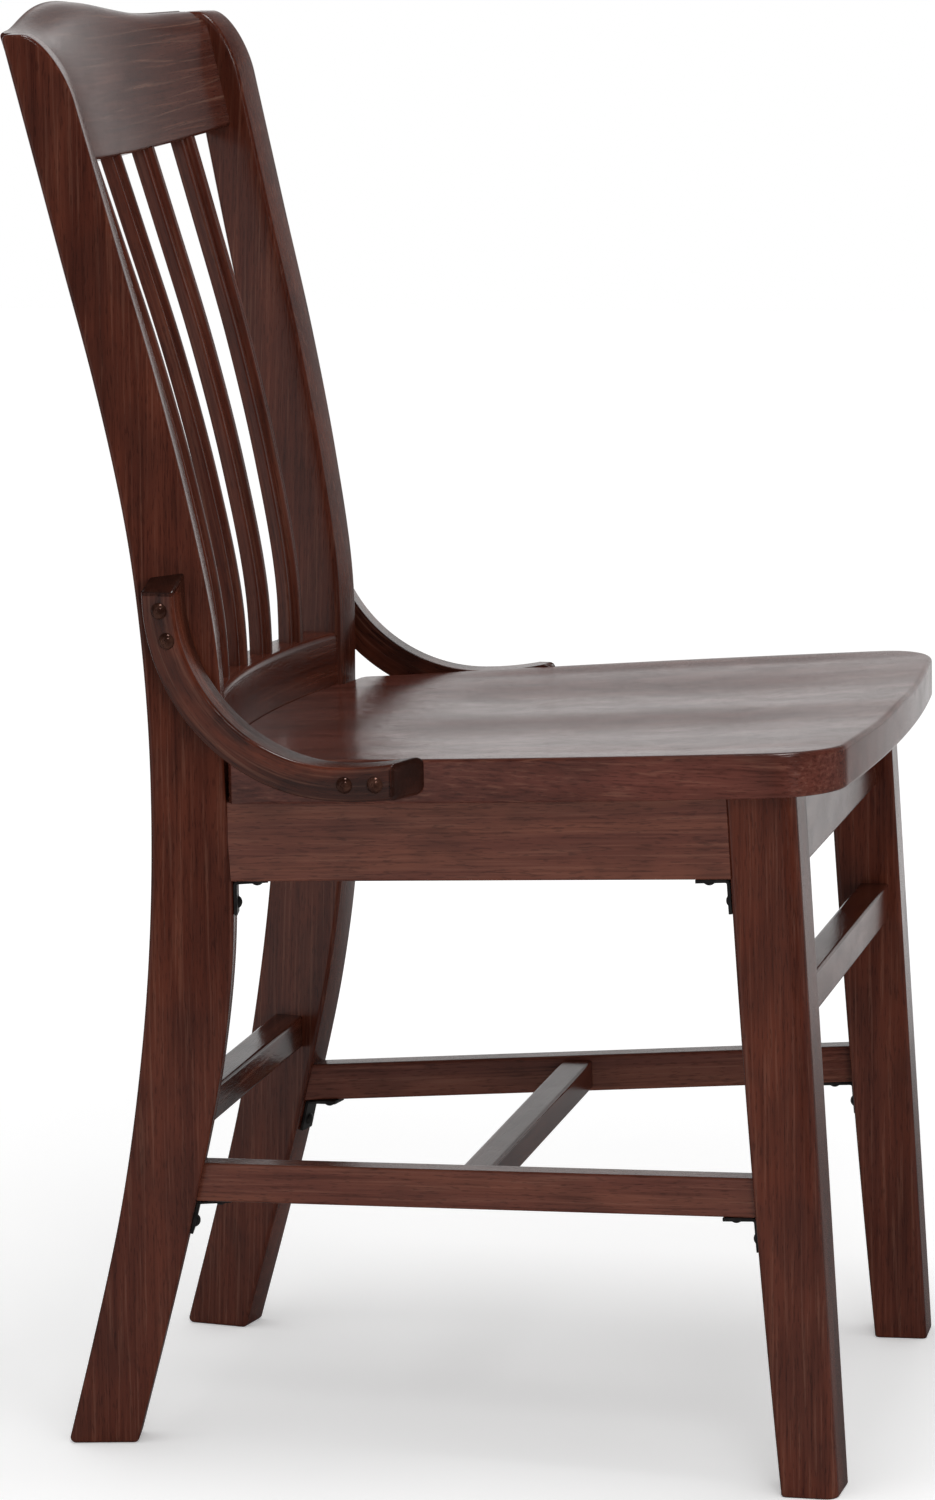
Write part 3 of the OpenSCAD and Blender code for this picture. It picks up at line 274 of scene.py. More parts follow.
def makeWood(name, values):
    # stained beech under satin lacquer: a broad figure, fine growth lines, the short dark flecks
    # of beech and the stain's blotches show through a coat that mirrors the room softly
    material, tree = newMaterial(name)
    grain = addNode(tree, "Attribute", {"attribute_name": "grain"}, out="Vector")
    noise = noiseLayers(tree, grain, beech["noise"])
    tone = layTints(tree, colour(values["dark"]), noise, [
        ("figure", 0.33, 0.68, 1.0, "MIX", values["light"]),
        ("blotches", 0.4, 0.72, values["blotch"], "MIX", values["stain"]),
        ("lines", 0.48, 0.3, values["lines"], "MULTIPLY", beech["lineTint"]),
        ("lines", 0.52, 0.72, beech["crestShare"] * values["lines"], "MIX", beech["crestTint"]),
        ("flecks", 0.56, 0.7, beech["fleckShare"], "MULTIPLY", beech["fleckTint"])])
    # pale growth lines are the crests of a sine across the board, bent and broken by noise
    across = addNode(tree, "SeparateXYZ", {}, [grain], 1)
    turns = addNode(tree, "Math", times, [across, 2 * math.pi / (beech["ringSpacing"] * mm)])
    bend = addNode(tree, "Math", times, [noise["bend"], beech["ringBend"]])
    phase = addNode(tree, "Math", plus, [turns, bend])
    wave = addNode(tree, "Math", {"operation": "SINE"}, [phase])
    crests = addNode(tree, "MapRange", smooth, [wave, 0.9, 1.0])
    broken = addNode(tree, "MapRange", smooth, [
        noise["lines"], 0.35, 0.65, 0.2 * values["rings"], values["rings"]])
    rings = addNode(tree, "Math", times, [crests, broken])
    cut = addNode(tree, "Attribute", {"attribute_name": "cut"}, out="Fac")
    ends = addNode(tree, "Math", times, [cut, beech["endShare"]])
    for factor, tint in ((rings, beech["ringTint"]), (ends, beech["endTint"])):
        tone = addNode(tree, "Mix", {"data_type": "RGBA"},
                       {0: factor, 6: tone, 7: colour(tint)}, 2)
    pores = addNode(tree, "MapRange", smooth, [noise["flecks"], 0.5, 0.72, 0, 0.6])
    height = addNode(tree, "Math", less, [
        addNode(tree, "Math", times, [noise["lines"], 0.5]), pores])
    bump = addNode(tree, "Bump", {}, {
        "Strength": beech["bump"], "Distance": beech["bumpDepth"] * mm, "Height": height})
    gloss = addNode(tree, "MapRange", smooth, [
        noise["blotches"], 0.3, 0.7, values["gloss"], values["gloss"] + beech["glossRange"]])
    shader = addNode(tree, "BsdfPrincipled", {}, {
        "Base Color": tone, "Roughness": gloss, "Specular IOR Level": beech["specular"],
        "Normal": bump})
    addNode(tree, "OutputMaterial", {}, [shader])
    return material


def makeBlockWood(name, values):
    # sawn beech of the hidden blocks, brushed with stain and not lacquered, so it looks dry
    material, tree = newMaterial(name)
    noise = noiseLayers(tree, addNode(tree, "TexCoord", out="Object"), values["noise"])
    tone = layTints(tree, colour(values["dark"]), noise, [
        ("figure", 0.35, 0.7, 1.0, "MIX", values["light"]),
        ("flecks", 0.56, 0.7, 0.5, "MULTIPLY", beech["fleckTint"])])
    shader = addNode(tree, "BsdfPrincipled", {}, {
        "Base Color": tone, "Roughness": values["roughness"],
        "Specular IOR Level": values["specular"]})
    addNode(tree, "OutputMaterial", {}, [shader])
    return material


def makeSteel(name, values):
    # pressed steel with a dark coating, mottled by handling: clouds of some 6 mm in the colour
    # and the gloss, and an orange peel of about 1 mm in the coat
    material, tree = newMaterial(name)
    noise = noiseLayers(tree, addNode(tree, "TexCoord", out="Object"), {
        "cloud": [(6.25, 6.25, 6.25), 3.0, 0.0], "peel": [(1.111, 1.111, 1.111), 2.0, 0.0]})
    tone = layTints(tree, colour(values["dark"]), noise,
                    [("cloud", 0.35, 0.7, 1.0, "MIX", values["light"])])
    bump = addNode(tree, "Bump", {}, {
        "Strength": 0.2, "Distance": 0.1 * mm, "Height": noise["peel"]})
    gloss = addNode(tree, "MapRange", smooth, [
        noise["cloud"], 0.3, 0.7, values["gloss"], values["gloss"] + 0.12])
    shader = addNode(tree, "BsdfPrincipled", {}, {
        "Base Color": tone, "Metallic": values["metal"], "Roughness": gloss, "Normal": bump})
    addNode(tree, "OutputMaterial", {}, [shader])
    return material


woods = {
    "walnut": {"dark": "#451e14", "light": "#56291c", "stain": "#381a12", "blotch": 0.4,
               "lines": 0.35, "rings": 0.02, "gloss": 0.18},
    "walnutRinged": {"dark": "#45221a", "light": "#532b21", "stain": "#3a1c15", "blotch": 0.3,
                     "lines": 0.35, "rings": 0.15, "gloss": 0.2},
    "walnutDark": {"dark": "#371a12", "light": "#5a2a1b", "stain": "#220f0b", "blotch": 0.8,
                   "lines": 0.35, "rings": 0.04, "gloss": 0.17},
    # a lighter copy of the walnut for the seat: its paler tone is painted light on the seat's lit
    # side and top
    "walnutSeatPaintedLight": {"dark": "#4e271e", "light": "#60332a", "stain": "#3f1f18", "blotch": 0.5,
                   "lines": 0.45, "rings": 0.02, "gloss": 0.185},
    # a lighter copy of the walnut: painted light for the side aprons and stretchers, which stand in
    # brighter light
    "walnutPaintedLight": {"dark": "#5a3026", "light": "#693c2e", "stain": "#48261d", "blotch": 0.45,
                   "lines": 0.4, "rings": 0.02, "gloss": 0.19},
}
wood = makeWood("Beech, walnut stain and satin lacquer", woods["walnut"])
woodRinged = makeWood("Beech, walnut stain over growth lines", woods["walnutRinged"])
woodDark = makeWood("Beech, darker walnut stain", woods["walnutDark"])
# the seat's lighter tone is painted light
woodSeatPaintedLight = makeWood("Beech, walnut stain lightened as painted light on the seat", woods["walnutSeatPaintedLight"])
# this paler tone is painted light, not a thinner stain
woodPaintedLight = makeWood("Beech, walnut stain lightened as painted light", woods["walnutPaintedLight"])
blockWood = makeBlockWood("Beech blocks, brushed with stain", {
    "dark": "#5a3628", "light": "#7d5340", "roughness": 0.6, "specular": 0.25,
    "noise": {"figure": [(16.67, 50.0, 4.167), 3.0, 0.5],
              "flecks": [(1.429, 8.333, 1.111), 1.0, 0.0]}})
steelDark = makeSteel("Steel, dark coated", {
    "dark": "#2c2a2a", "light": "#413e3d", "metal": 0.7, "gloss": 0.38})
screwBrown = makeSteel("Screw steel, brown lacquer", {
    "dark": "#3c221a", "light": "#5e3d31", "metal": 0.6, "gloss": 0.1})
print("materials made")


# back posts: boards sawn to an outline, s rearward and w inward through the thickness

post = {
    "height": 867.0, "x": 136.3, "y": 118.4, "thickness": 27.0, "splay": 3.9, "toe": 10.3,
    "waist": 330.0, "footSet": 73.0, "topSet": 82.5, "footDepth": 43.0, "hipDepth": 51.0,
    "seatDepth": 45.0, "topDepth": 32.0, "edge": 2.5, "rollReach": 20.0, "rollDrop": 40.0,
    "cornerRadius": 3.4, "rollWeight": 0.6, "grainDrift": 0.03,
}
backHeight = post["height"] - post["waist"]
frontLine = [[k * post["waist"], v * post["footSet"]]
             for k, v in ((0, 1), (0.21, 0.73), (0.45, 0.44), (0.73, 0.15), (1, 0))]
frontLine += [[post["waist"] + k * backHeight, v * post["topSet"]]
              for k, v in ((0.17, 0.022), (0.32, 0.043), (0.465, 0.185), (0.615, 0.387),
                           (0.76, 0.62), (1, 1))]
hipGain = post["hipDepth"] - post["footDepth"]
seatGain = post["seatDepth"] - post["topDepth"]
depthLine = [
    [0, post["footDepth"]],
    [0.45 * post["waist"], post["footDepth"] + 0.28 * hipGain],
    [0.73 * post["waist"], post["footDepth"] + 0.88 * hipGain],
    [post["waist"], post["hipDepth"]],
    [post["waist"] + 0.17 * backHeight, post["seatDepth"]],
    [post["waist"] + 0.32 * backHeight, post["seatDepth"]],
    [post["waist"] + 0.465 * backHeight, post["topDepth"] + 0.65 * seatGain],
    [post["waist"] + 0.76 * backHeight, post["topDepth"] + 0.26 * seatGain],
    [post["height"], post["topDepth"]]]
toe = math.radians(post["toe"])
splaySlope = math.tan(math.radians(post["splay"]))


def postFront(z):
    # how far the front edge lies behind the post's corner, by height
    return curve(frontLine, z)


def postRear(z):
    # the front edge and the board's depth at that height
    return postFront(z) + curve(depthLine, z)


def postPoint(s, w, z):
    # the board turned by its toe and moved outward by the splay times the height
    s, w, z = np.broadcast_arrays(np.asarray(s, float), w, z)
    return np.stack([post["x"] + splaySlope * z + s * math.sin(toe) - w * math.cos(toe),
                     post["y"] + s * math.cos(toe) + w * math.sin(toe), z], -1)


def postSideX(y, z, w=post["thickness"]):
    # half width at the plane of the posts' inner faces, or w in from the outer ones
    return post["x"] + splaySlope * z + (y - post["y"]) * math.tan(toe) - w / math.cos(toe)


def postFrontY(x, z):
    # the plane of the front edge, which the toe slants in plan
    p = postPoint(postFront(z), 0, z)
    return p[..., 1] + (p[..., 0] - x) * math.tan(toe)


def postInnerY(z):
    return postPoint(postFront(z), post["thickness"], z)[..., 1]


def outlineNormals(outline):
    # outward normals of a closed outline that is walked anticlockwise
    d = np.roll(outline, -1, 0) - np.roll(outline, 1, 0)
    n = np.stack([d[:, 1], -d[:, 0]], -1)
    return n / np.linalg.norm(n, axis=1)[:, None]


def cornerArc(middle, radius, start, end, steps=8):
    w = np.radians(np.linspace(start, end, steps + 1))
    return np.asarray(middle) + radius * np.stack([np.cos(w), np.sin(w)], -1)


def postCorner(edgeLine, sign, z):
    # centre of the rounding between an upright edge and an end, and where that edge's normal points
    slope = float(edgeLine(z + 1) - edgeLine(z - 1)) / 2
    middle = [float(edgeLine(z)) - sign * post["cornerRadius"] * math.hypot(1, slope), z]
    return middle, math.degrees(math.atan2(-sign * slope, sign))


def roundCorner(middle, start, end):
    points = cornerArc(middle, post["cornerRadius"], start, end)
    return points, (points - middle) / post["cornerRadius"]


def alongLine(points):
    d = np.gradient(points, axis=0)
    normal = np.stack([d[:, 1], -d[:, 0]], -1)
    return points, normal / np.linalg.norm(normal, axis=1)[:, None]


def postOutline():
    # (s, z) anticlockwise from the foot: up the rear, over the top and down the rolled front;
    # each stretch brings its own outward normals
    h, r = post["height"], post["cornerRadius"]
    rollStart = h - post["rollDrop"]
    a = [float(postFront(rollStart)), rollStart]
    b = [float(postFront(h)), h]
    c = [b[0] + post["rollReach"], h]
    footRear, footRearWay = postCorner(postRear, 1, r)
    topRear, topRearWay = postCorner(postRear, 1, h - r)
    footFront, footFrontWay = postCorner(postFront, -1, r)
    up = np.linspace(r + r * math.sin(math.radians(footRearWay)) + 1,
                     h - r + r * math.sin(math.radians(topRearWay)) - 1, 122)
    down = np.linspace(rollStart - 4, r + r * math.sin(math.radians(footFrontWay)) + 1, 105)
    stretches = [
        roundCorner(footRear, 270, 360 + footRearWay),
        alongLine(np.stack([postRear(up), up], -1)),
        roundCorner(topRear, topRearWay, 90),
        alongLine(conic(a, b, c, post["rollWeight"], np.linspace(1, 0, 26))),
        alongLine(np.stack([postFront(down), down], -1)),
        roundCorner(footFront, footFrontWay % 360, 270)]
    return [np.concatenate(part) for part in zip(*stretches)]


def buildPost(side):
    # the outline carried through the thickness, drawn in along its normals at both edges
    outline, normal = postOutline()
    e, t = post["edge"], post["thickness"]
    turn = np.radians(90 * np.arange(7) / 6)
    inset = [e + 0.6, *(e * (1 - np.sin(turn)))]
    depth = [0.0, *(e * (1 - np.cos(turn)))]
    inset = np.array(inset + [0.0] + inset[::-1])
    depth = np.array(depth + [t / 2] + [t - d for d in depth[::-1]])
    rings, grain = [], []
    for a, w in zip(inset, depth):
        q = outline - a * normal
        rings.append(postPoint(q[:, 0], w, q[:, 1]))
        grain.append(np.stack([q[:, 1], q[:, 0] + post["grainDrift"] * q[:, 1],
                               np.full(len(q), w)], -1))
    piece = loft(f"Back_post_{side}", rings, grain, mirrored=side == "right", longEnds=True)
    return dress(piece, wood, [f"back_post_{side}"])


for side in ("left", "right"):
    buildPost(side)
print("back posts built")


# front legs; the seat's sizes stand here too, because legs and aprons end at its underside

seat = {
    "height": 438.4, "pitch": 2.9, "thickness": 26.5, "width": 419.0, "rearWidth": 338.0,
    "front": 267.2, "sideBow": 6.8, "frontBow": 10.4, "corner": 38.0, "edge": 3.2,
    "scoopDepth": 3.6, "scoopOffset": 70.0, "scoopSpread": 54.0, "ridge": 16.0,
    "scoopRear": 115.0, "scoopFull": -20.0, "noseStart": 0.62, "noseLoss": 0.55,
    "dishDepth": 1.6, "dishFade": 35.0, "underEase": 1.8, "postGap": 2.0,
    "rearEase": 0.12, "middleY": -70.0,
}
leg = {
    "inset": 8.3, "y": 255.0, "width": 37.7, "footDepth": 34.2, "topDepth": 41.4, "belly": 2.3,
    "lean": 3.08, "turn": 1.9, "frontEdge": 8.0, "edge": 3.0, "footEase": 1.5,
}
pitchSlope = math.tan(math.radians(seat["pitch"]))
leanSlope = math.tan(math.radians(leg["lean"]))
legTurn = math.radians(leg["turn"])
legX = seat["width"] / 2 - leg["inset"]
clearance = 0.15  # mm left round every joint in the part


def underZ(y):
    return seat["height"] - seat["thickness"] - pitchSlope * y


legReach = underZ(-leg["y"])


def legFront(z):
    return leanSlope * z


def legRear(z):
    # straight taper from foot to top, and a parabola for the belly
    t = z / legReach
    return (leg["footDepth"] + (leg["topDepth"] - leg["footDepth"]) * t + legFront(z)
            + 4 * leg["belly"] * t * (1 - t))


def legPoint(s, w, z):
    # s runs back and w inward from the leg's outer front corner, turned by legTurn in plan
    s, w, z = np.broadcast_arrays(np.asarray(s, float), w, z)
    return np.stack([legX - s * math.sin(legTurn) - w * math.cos(legTurn),
                     -leg["y"] + s * math.cos(legTurn) - w * math.sin(legTurn), z], -1)


def legSideX(y, w=leg["width"]):
    return legX - (y + leg["y"]) * math.tan(legTurn) - w / math.cos(legTurn)


def legRearY(x, z):
    p = legPoint(legRear(z), 0, z)
    return p[..., 1] - (p[..., 0] - x) * math.tan(legTurn)


def buildLeg(side):
    # a rounded rectangle carried up the leg; the last one follows the seat's underside
    rings, grain = [], []
    for t in np.linspace(0, 1, 25):
        z = legReach * t
        q = roundedLoop([legFront(z), 0], [legRear(z), leg["width"]],
                        [leg["frontEdge"], leg["edge"], leg["edge"], leg["edge"]], steps=8)
        ring = legPoint(q[:, 0], q[:, 1], z)
        if t == 1:
            ring[:, 2] = underZ(ring[:, 1]) + intoNeighbour
        rings.append(ring)
        grain.append(np.stack([ring[:, 2], q[:, 0], q[:, 1]], -1))
    piece = loft(f"Front_leg_{side}", rings, grain, ease=(leg["footEase"], 0),
                 mirrored=side == "right")
    return dress(piece, wood, [f"front_leg_{side}"])


for side in ("left", "right"):
    buildLeg(side)
print("front legs built")


# aprons and stretchers

bars = {
    "apronThickness": 20.0, "apronHeight": 49.0, "frontApronHeight": 55.5, "apronInset": 1.8,
    "apronFrontSet": 7.0, "apronRearSet": 13.0, "edge": 2.0,
    "sideTop": 184.2, "sidePitch": 2.2, "sideHeight": 24.0, "sideThickness": 17.0,
    "sideFrontInset": 6.4, "sideRearInset": 4.4,
    "frontTop": 303.8, "frontHeight": 24.5, "frontDepth": 19.0, "frontSet": 6.0,
    "rearTop": 212.0, "rearHeight": 21.0, "rearDepth": 20.0, "rearSet": 13.0,
    "centreY": 27.0, "centreWidth": 19.5, "centreHeight": 19.0, "centreDrop": 3.0,
}
sideSlope = math.tan(math.radians(bars["sidePitch"]))
seatLevel = float(underZ(post["y"]))
apronRearX = float(postSideX(post["y"], seatLevel, 0)) - bars["apronInset"]
apronFrontX = legSideX(-leg["y"], 0) - bars["apronInset"]
apronRearY = float(postFrontY(apronRearX, seatLevel))
apronFrontY = float(legRearY(apronFrontX, legReach))
apronPlanSlope = (apronFrontX - apronRearX) / (apronRearY - apronFrontY)
stretcherRearY = post["y"] + float(postFront(bars["sideTop"]))
stretcherFrontY = -leg["y"] + float(legRear(bars["sideTop"]))
stretcherRearX = float(postSideX(stretcherRearY, bars["sideTop"], 0)) - bars["sideRearInset"]
stretcherFrontX = legSideX(stretcherFrontY, 0) - bars["sideFrontInset"]


def apronX(y):
    return apronRearX + (apronRearY - y) * apronPlanSlope


def stretcherX(y):
    t = (y - stretcherRearY) / (stretcherFrontY - stretcherRearY)
    return stretcherRearX + (stretcherFrontX - stretcherRearX) * t


def stretcherZ(y):
    return bars["sideTop"] - y * sideSlope


def barEnd(plan, top, q, rear):
    # where a side bar's section points meet the post or the leg, found by a few steps along it
    y = np.full(len(q), post["y"] if rear else -leg["y"])
    for _ in range(6):
        x, z = plan(y) - q[:, 0], top(y) - q[:, 1]
        y = postFrontY(x, z) + intoNeighbour if rear else legRearY(x, z) - intoNeighbour
    return np.stack([plan(y) - q[:, 0], y, top(y) - q[:, 1]], -1)


def barRings(ends, loop, axis, stations=9):
    # even steps from one end's section to the other's
    rings = [ends[0] + (ends[1] - ends[0]) * t for t in np.linspace(0, 1, stations)]
    grain = [np.stack([r[:, axis], loop[:, 0], loop[:, 1]], -1) for r in rings]
    return rings, grain


def buildSideBar(label, node, plan, top, size, topEdge, material, side):
    loop = roundedLoop([0, 0], size, [topEdge, topEdge, bars["edge"], bars["edge"]])
    ends = [barEnd(plan, top, loop, rear) for rear in (True, False)]
    rings, grain = barRings(ends, loop, 1)
    piece = loft(f"{label}_{side}", rings, grain, mirrored=side == "right")
    return dress(piece, material, [f"{node}_{side}"])


def buildCrossBar(label, node, y, top, depth, height, topEdge, sideX, material):
    loop = roundedLoop([0, 0], [depth, height], [topEdge, topEdge, bars["edge"], bars["edge"]])
    yy = y + loop[:, 0]
    z = top(yy) - loop[:, 1]
    right = np.stack([sideX(yy, z) + intoNeighbour, yy, z], -1)
    ends = [right, right * [-1, 1, 1]]
    rings, grain = barRings(ends, loop, 0)
    return dress(loft(label, rings, grain), material, [node])


# the side bars take the lighter wood, whose paler tone is painted light
for side in ("left", "right"):
    buildSideBar("Side_apron", "side_apron", apronX, underZ,
                 [bars["apronThickness"], bars["apronHeight"]], 0.5, woodPaintedLight, side)
    buildSideBar("Side_stretcher", "side_stretcher", stretcherX, stretcherZ,
                 [bars["sideThickness"], bars["sideHeight"]], bars["edge"], woodPaintedLight, side)
buildCrossBar("Front_apron", "front_apron",
              -leg["y"] + legFront(legReach) + bars["apronFrontSet"], underZ,
              bars["apronThickness"], bars["frontApronHeight"], 0.5,
              lambda y, z: legSideX(y), wood)
buildCrossBar("Rear_apron", "rear_apron", float(postInnerY(seatLevel)) + bars["apronRearSet"],
              underZ, bars["apronThickness"], bars["apronHeight"], 0.5,
              postSideX, woodDark)
buildCrossBar("Front_stretcher", "front_stretcher",
              -leg["y"] + legFront(bars["frontTop"]) + bars["frontSet"],
              lambda y: bars["frontTop"] + 0 * y, bars["frontDepth"], bars["frontHeight"],
              bars["edge"], lambda y, z: legSideX(y), wood)
buildCrossBar("Rear_stretcher", "rear_stretcher",
              float(postInnerY(bars["rearTop"])) + bars["rearSet"],
              lambda y: bars["rearTop"] + 0 * y, bars["rearDepth"], bars["rearHeight"],
              bars["edge"], postSideX, woodDark)


def buildCentreStretcher():
    loop = roundedLoop([0, 0], [bars["centreWidth"], bars["centreHeight"]], [bars["edge"]] * 4)
    y = -bars["centreY"] - bars["centreWidth"] / 2 + loop[:, 0]
    z = stretcherZ(-bars["centreY"]) - bars["centreDrop"] - loop[:, 1]
    right = np.stack([stretcherX(y) - bars["sideThickness"] + intoNeighbour, y, z], -1)
    rings, grain = barRings([right, right * [-1, 1, 1]], loop, 0)
    return dress(loft("Centre_stretcher", rings, grain), wood,
                 ["centre_stretcher"])


buildCentreStretcher()
print("aprons and stretchers built")


# back: crest rail, lower rail and slats follow one arc in plan

back = {
    "radius": 640.0, "crestHeight": 73.5, "crestLean": 14.2, "crestThickness": 20.0,
    "crestSet": 13.2, "crownRise": 12.4, "crownReach": 142.0, "crestDip": 3.0, "crestRoll": 14.0,
    "crestEdge": 2.5, "railRise": 27.1, "railHeight": 58.0, "railThickness": 25.0,
    "railSet": 1.6, "railEdge": 3.5,
}
lean = math.radians(back["crestLean"])
crestBottom = post["height"] - back["crestHeight"]
crestFootY = float(postInnerY(crestBottom)) + back["crestSet"]
crestHalf = float(postSideX(crestFootY, crestBottom))


def bow(half, v):
    # how far an arc of the back's radius bulges at a share v of its half width, as a parabola
    return half**2 * (1 - v**2) / (2 * back["radius"])


def crestYz(n, u, v):
    # section point n back from the face and u up along it, at a share v of the half width
    m = n + bow(crestHalf, v)
    return (crestFootY + m * math.cos(lean) + u * math.sin(lean),
            crestBottom + u * math.cos(lean) - m * math.sin(lean))


def crown(v):
    # a cosine squared that ends at crownReach
    x = abs(v) * crestHalf
    return back["crownRise"] * math.cos(math.pi / 2 * min(x / back["crownReach"], 1)) ** 2


def crestLow(v):
    return -back["crestDip"] * (1 - v**2)


def crestSection(v):
    # (n, u) of the section, round from its lower front edge
    t, e, low = back["crestThickness"], back["crestEdge"], crestLow(v)
    z = post["height"] + crown(v)

    def level(n):
        return (z - crestBottom + (n + bow(crestHalf, v)) * math.sin(lean)) / math.cos(lean)

    roll = back["crestRoll"]
    face, rear = level(0), level(t)
    topLine = np.linspace(roll + 0.8, t - e - 0.4, 3)
    return np.concatenate([
        [[e + 0.7, low]],
        cornerArc([e, low + e], e, 270, 180, 6),
        [[0, low + e + 0.7], [0, face - roll - 0.8]],
        conic([0, face - roll], [0, face], [roll, level(roll)], 0.8, np.linspace(0, 1, 15)),
        np.stack([topLine, [level(n) for n in topLine]], -1),
        cornerArc([t - e, rear - e], e, 90 - back["crestLean"] * 0.6, 0, 6),
        [[t, rear - e - 0.7], [t, low + e + 0.7]],
        cornerArc([t - e, low + e], e, 0, -90, 6),
        [[t - e - 0.7, low]]])


def buildCrest():
    # the section carried along the bow between the posts
    rings, grain = [], []
    for v in np.linspace(-1, 1, 141):
        q = crestSection(v)
        y, z = crestYz(q[:, 0], q[:, 1], v)
        x = v * (postSideX(y, z) + intoNeighbour)
        rings.append(np.stack([x, y, z], -1))
        grain.append(np.stack([x, q[:, 1], q[:, 0]], -1))
    return dress(loft("Crest_rail", rings, grain), woodRinged, ["crest_rail"])


railTop = seat["height"] + back["railRise"]


def railFrontY(z):
    return postInnerY(z) + back["railSet"]


railHalf = float(postSideX(railFrontY(railTop), railTop))


def buildLowerRail():
    loop = roundedLoop([0, 0], [back["railThickness"], back["railHeight"]],
                       [back["railEdge"], bars["edge"], bars["edge"], bars["edge"]], steps=8)
    rings, grain = [], []
    for v in np.linspace(1, -1, 81):
        z = railTop - loop[:, 1]
        y = railFrontY(z) + loop[:, 0] + bow(railHalf, v)
        x = v * (postSideX(y, z) + intoNeighbour)
        rings.append(np.stack([x, y, z], -1))
        grain.append(np.stack([x, loop[:, 1], loop[:, 0]], -1))
    return dress(loft("Lower_back_rail", rings, grain), wood,
                 ["lower_back_rail"])


buildCrest()
buildLowerRail()
print("back rails built")

slat = {
    "count": 5, "width": 21.0, "flange": 8.5, "bead": 3.0, "beadHalf": 4.2, "groove": 0.6,
    "lowSet": 10.5, "highSet": 17.0, "belly": 2.2, "ease": 0.9,
}


def slatSet(z):
    # straight from the rail's set to the crest's, less a parabola for the belly
    t = (z - railTop) / (crestBottom - railTop)
    return slat["lowSet"] + (slat["highSet"] - slat["lowSet"]) * t - 4 * slat["belly"] * t * (1 - t)


def slatHalf(z):
    return postSideX(postInnerY(z) + slatSet(z), z)


def slatPoint(k, q, z):
    # k steps from the middle one, on the back's arc and square to it
    x = k * (2 * slatHalf(z) + slat["width"]) / (slat["count"] + 1)
    y = postInnerY(z) + slatSet(z) + (slatHalf(z) ** 2 - x**2) / (2 * back["radius"])
    turn = np.arcsin(x / back["radius"])
    depth = q[:, 1] - slat["bead"]
    return np.stack([x + q[:, 0] * np.cos(turn) + depth * np.sin(turn),
                     y - q[:, 0] * np.sin(turn) + depth * np.cos(turn), z], -1)


def slatSection():
    # flat flanges with a round bead between two grooves along the middle of the front
    h, r, g, e, f = (slat["width"] / 2, slat["beadHalf"], slat["groove"], slat["ease"],
                     slat["bead"])
    rear = f + slat["flange"]
    w = np.radians(np.linspace(155, 25, 15))
    bead = np.stack([r * np.cos(w), f - f * np.sin(w)], -1)
    return np.concatenate([
        [[h, rear - e - 0.5]], cornerArc([h - e, rear - e], e, 0, 90, 5),
        [[h - e - 0.5, rear], [-h + e + 0.5, rear]], cornerArc([-h + e, rear - e], e, 90, 180, 5),
        [[-h, rear - e - 0.5], [-h, f + e + 0.5]], cornerArc([-h + e, f + e], e, 180, 270, 5),
        [[-h + e + 0.5, f], [-r - g - 0.4, f], [-r - g, f + 0.05], [-r - g * 0.5, f + g * 0.8],
         [-r, f + g * 0.6]],
        bead,
        [[r, f + g * 0.6], [r + g * 0.5, f + g * 0.8], [r + g, f + 0.05], [r + g + 0.4, f],
         [h - e - 0.5, f]],
        cornerArc([h - e, f + e], e, 270, 360, 5), [[h, f + e + 0.5]]])


def buildSlat(number):
    k = number - 1 - (slat["count"] - 1) / 2
    q = slatSection()
    high = slatPoint(k, q, np.full(len(q), crestBottom))
    v = high[:, 0] / crestHalf
    under = (crestBottom + crestLow(v) / math.cos(lean) - (high[:, 1] - crestFootY) * math.tan(lean)
             + intoNeighbour)
    rings, grain = [], []
    for t in np.linspace(0, 1, 61):
        z = railTop - intoNeighbour + (under - railTop + intoNeighbour) * t
        rings.append(slatPoint(k, q, z))
        grain.append(np.stack([z, q[:, 0], q[:, 1]], -1))
    return dress(loft(f"Back_slat_{number}", rings, grain), wood,
                 [f"back_slat_{number}"])


for number in range(1, slat["count"] + 1):
    buildSlat(number)
print("slats built")


# seat: an outline rounded at its upper edge, its rings drawn in towards the middle of the board

notchX = float(postPoint(postFront(seatLevel), post["thickness"], seatLevel)[0]) - clearance
seatRearY = float(postFrontY(seat["rearWidth"] / 2, seatLevel)) - clearance
seatSideEnd = -seat["front"] + seat["corner"]


def seatSide(y):
    # straight from the rear width to the full one, and a parabola for the bow
    t = (seatRearY - y) / (seatRearY - seatSideEnd)
    return ((seat["rearWidth"] + (seat["width"] - seat["rearWidth"]) * t) / 2
            + 4 * seat["sideBow"] * t * (1 - t))


def seatNose(x):
    # a parabola, furthest forward in the middle
    return -seat["front"] + seat["frontBow"] * (2 * x / seat["width"]) ** 2


def softStep(t):
    u = np.clip(t, 0, 1)
    return u**2 * (3 - 2 * u)


def scoop(x, y):
    # two bells beside a ridge and a broad dish, which fade to the rear, the sides and the front
    rear = softStep((seat["scoopRear"] - y) / (seat["scoopRear"] - seat["scoopFull"]))
    forward = -y / seat["front"]
    nose = 1 - seat["noseLoss"] * softStep((forward - seat["noseStart"]) / (1 - seat["noseStart"]))
    side = softStep((seatSide(y) - abs(x)) / seat["dishFade"])
    aside = np.hypot(x, seat["ridge"])
    hollow = np.exp(-((aside - seat["scoopOffset"]) / seat["scoopSpread"]) ** 2)
    return rear * nose * (seat["scoopDepth"] * hollow + seat["dishDepth"] * side)


def seatTop(x, y):
    # a plane that rises to the front by the pitch, less the scoops
    return seat["height"] - pitchSlope * y - scoop(x, y)


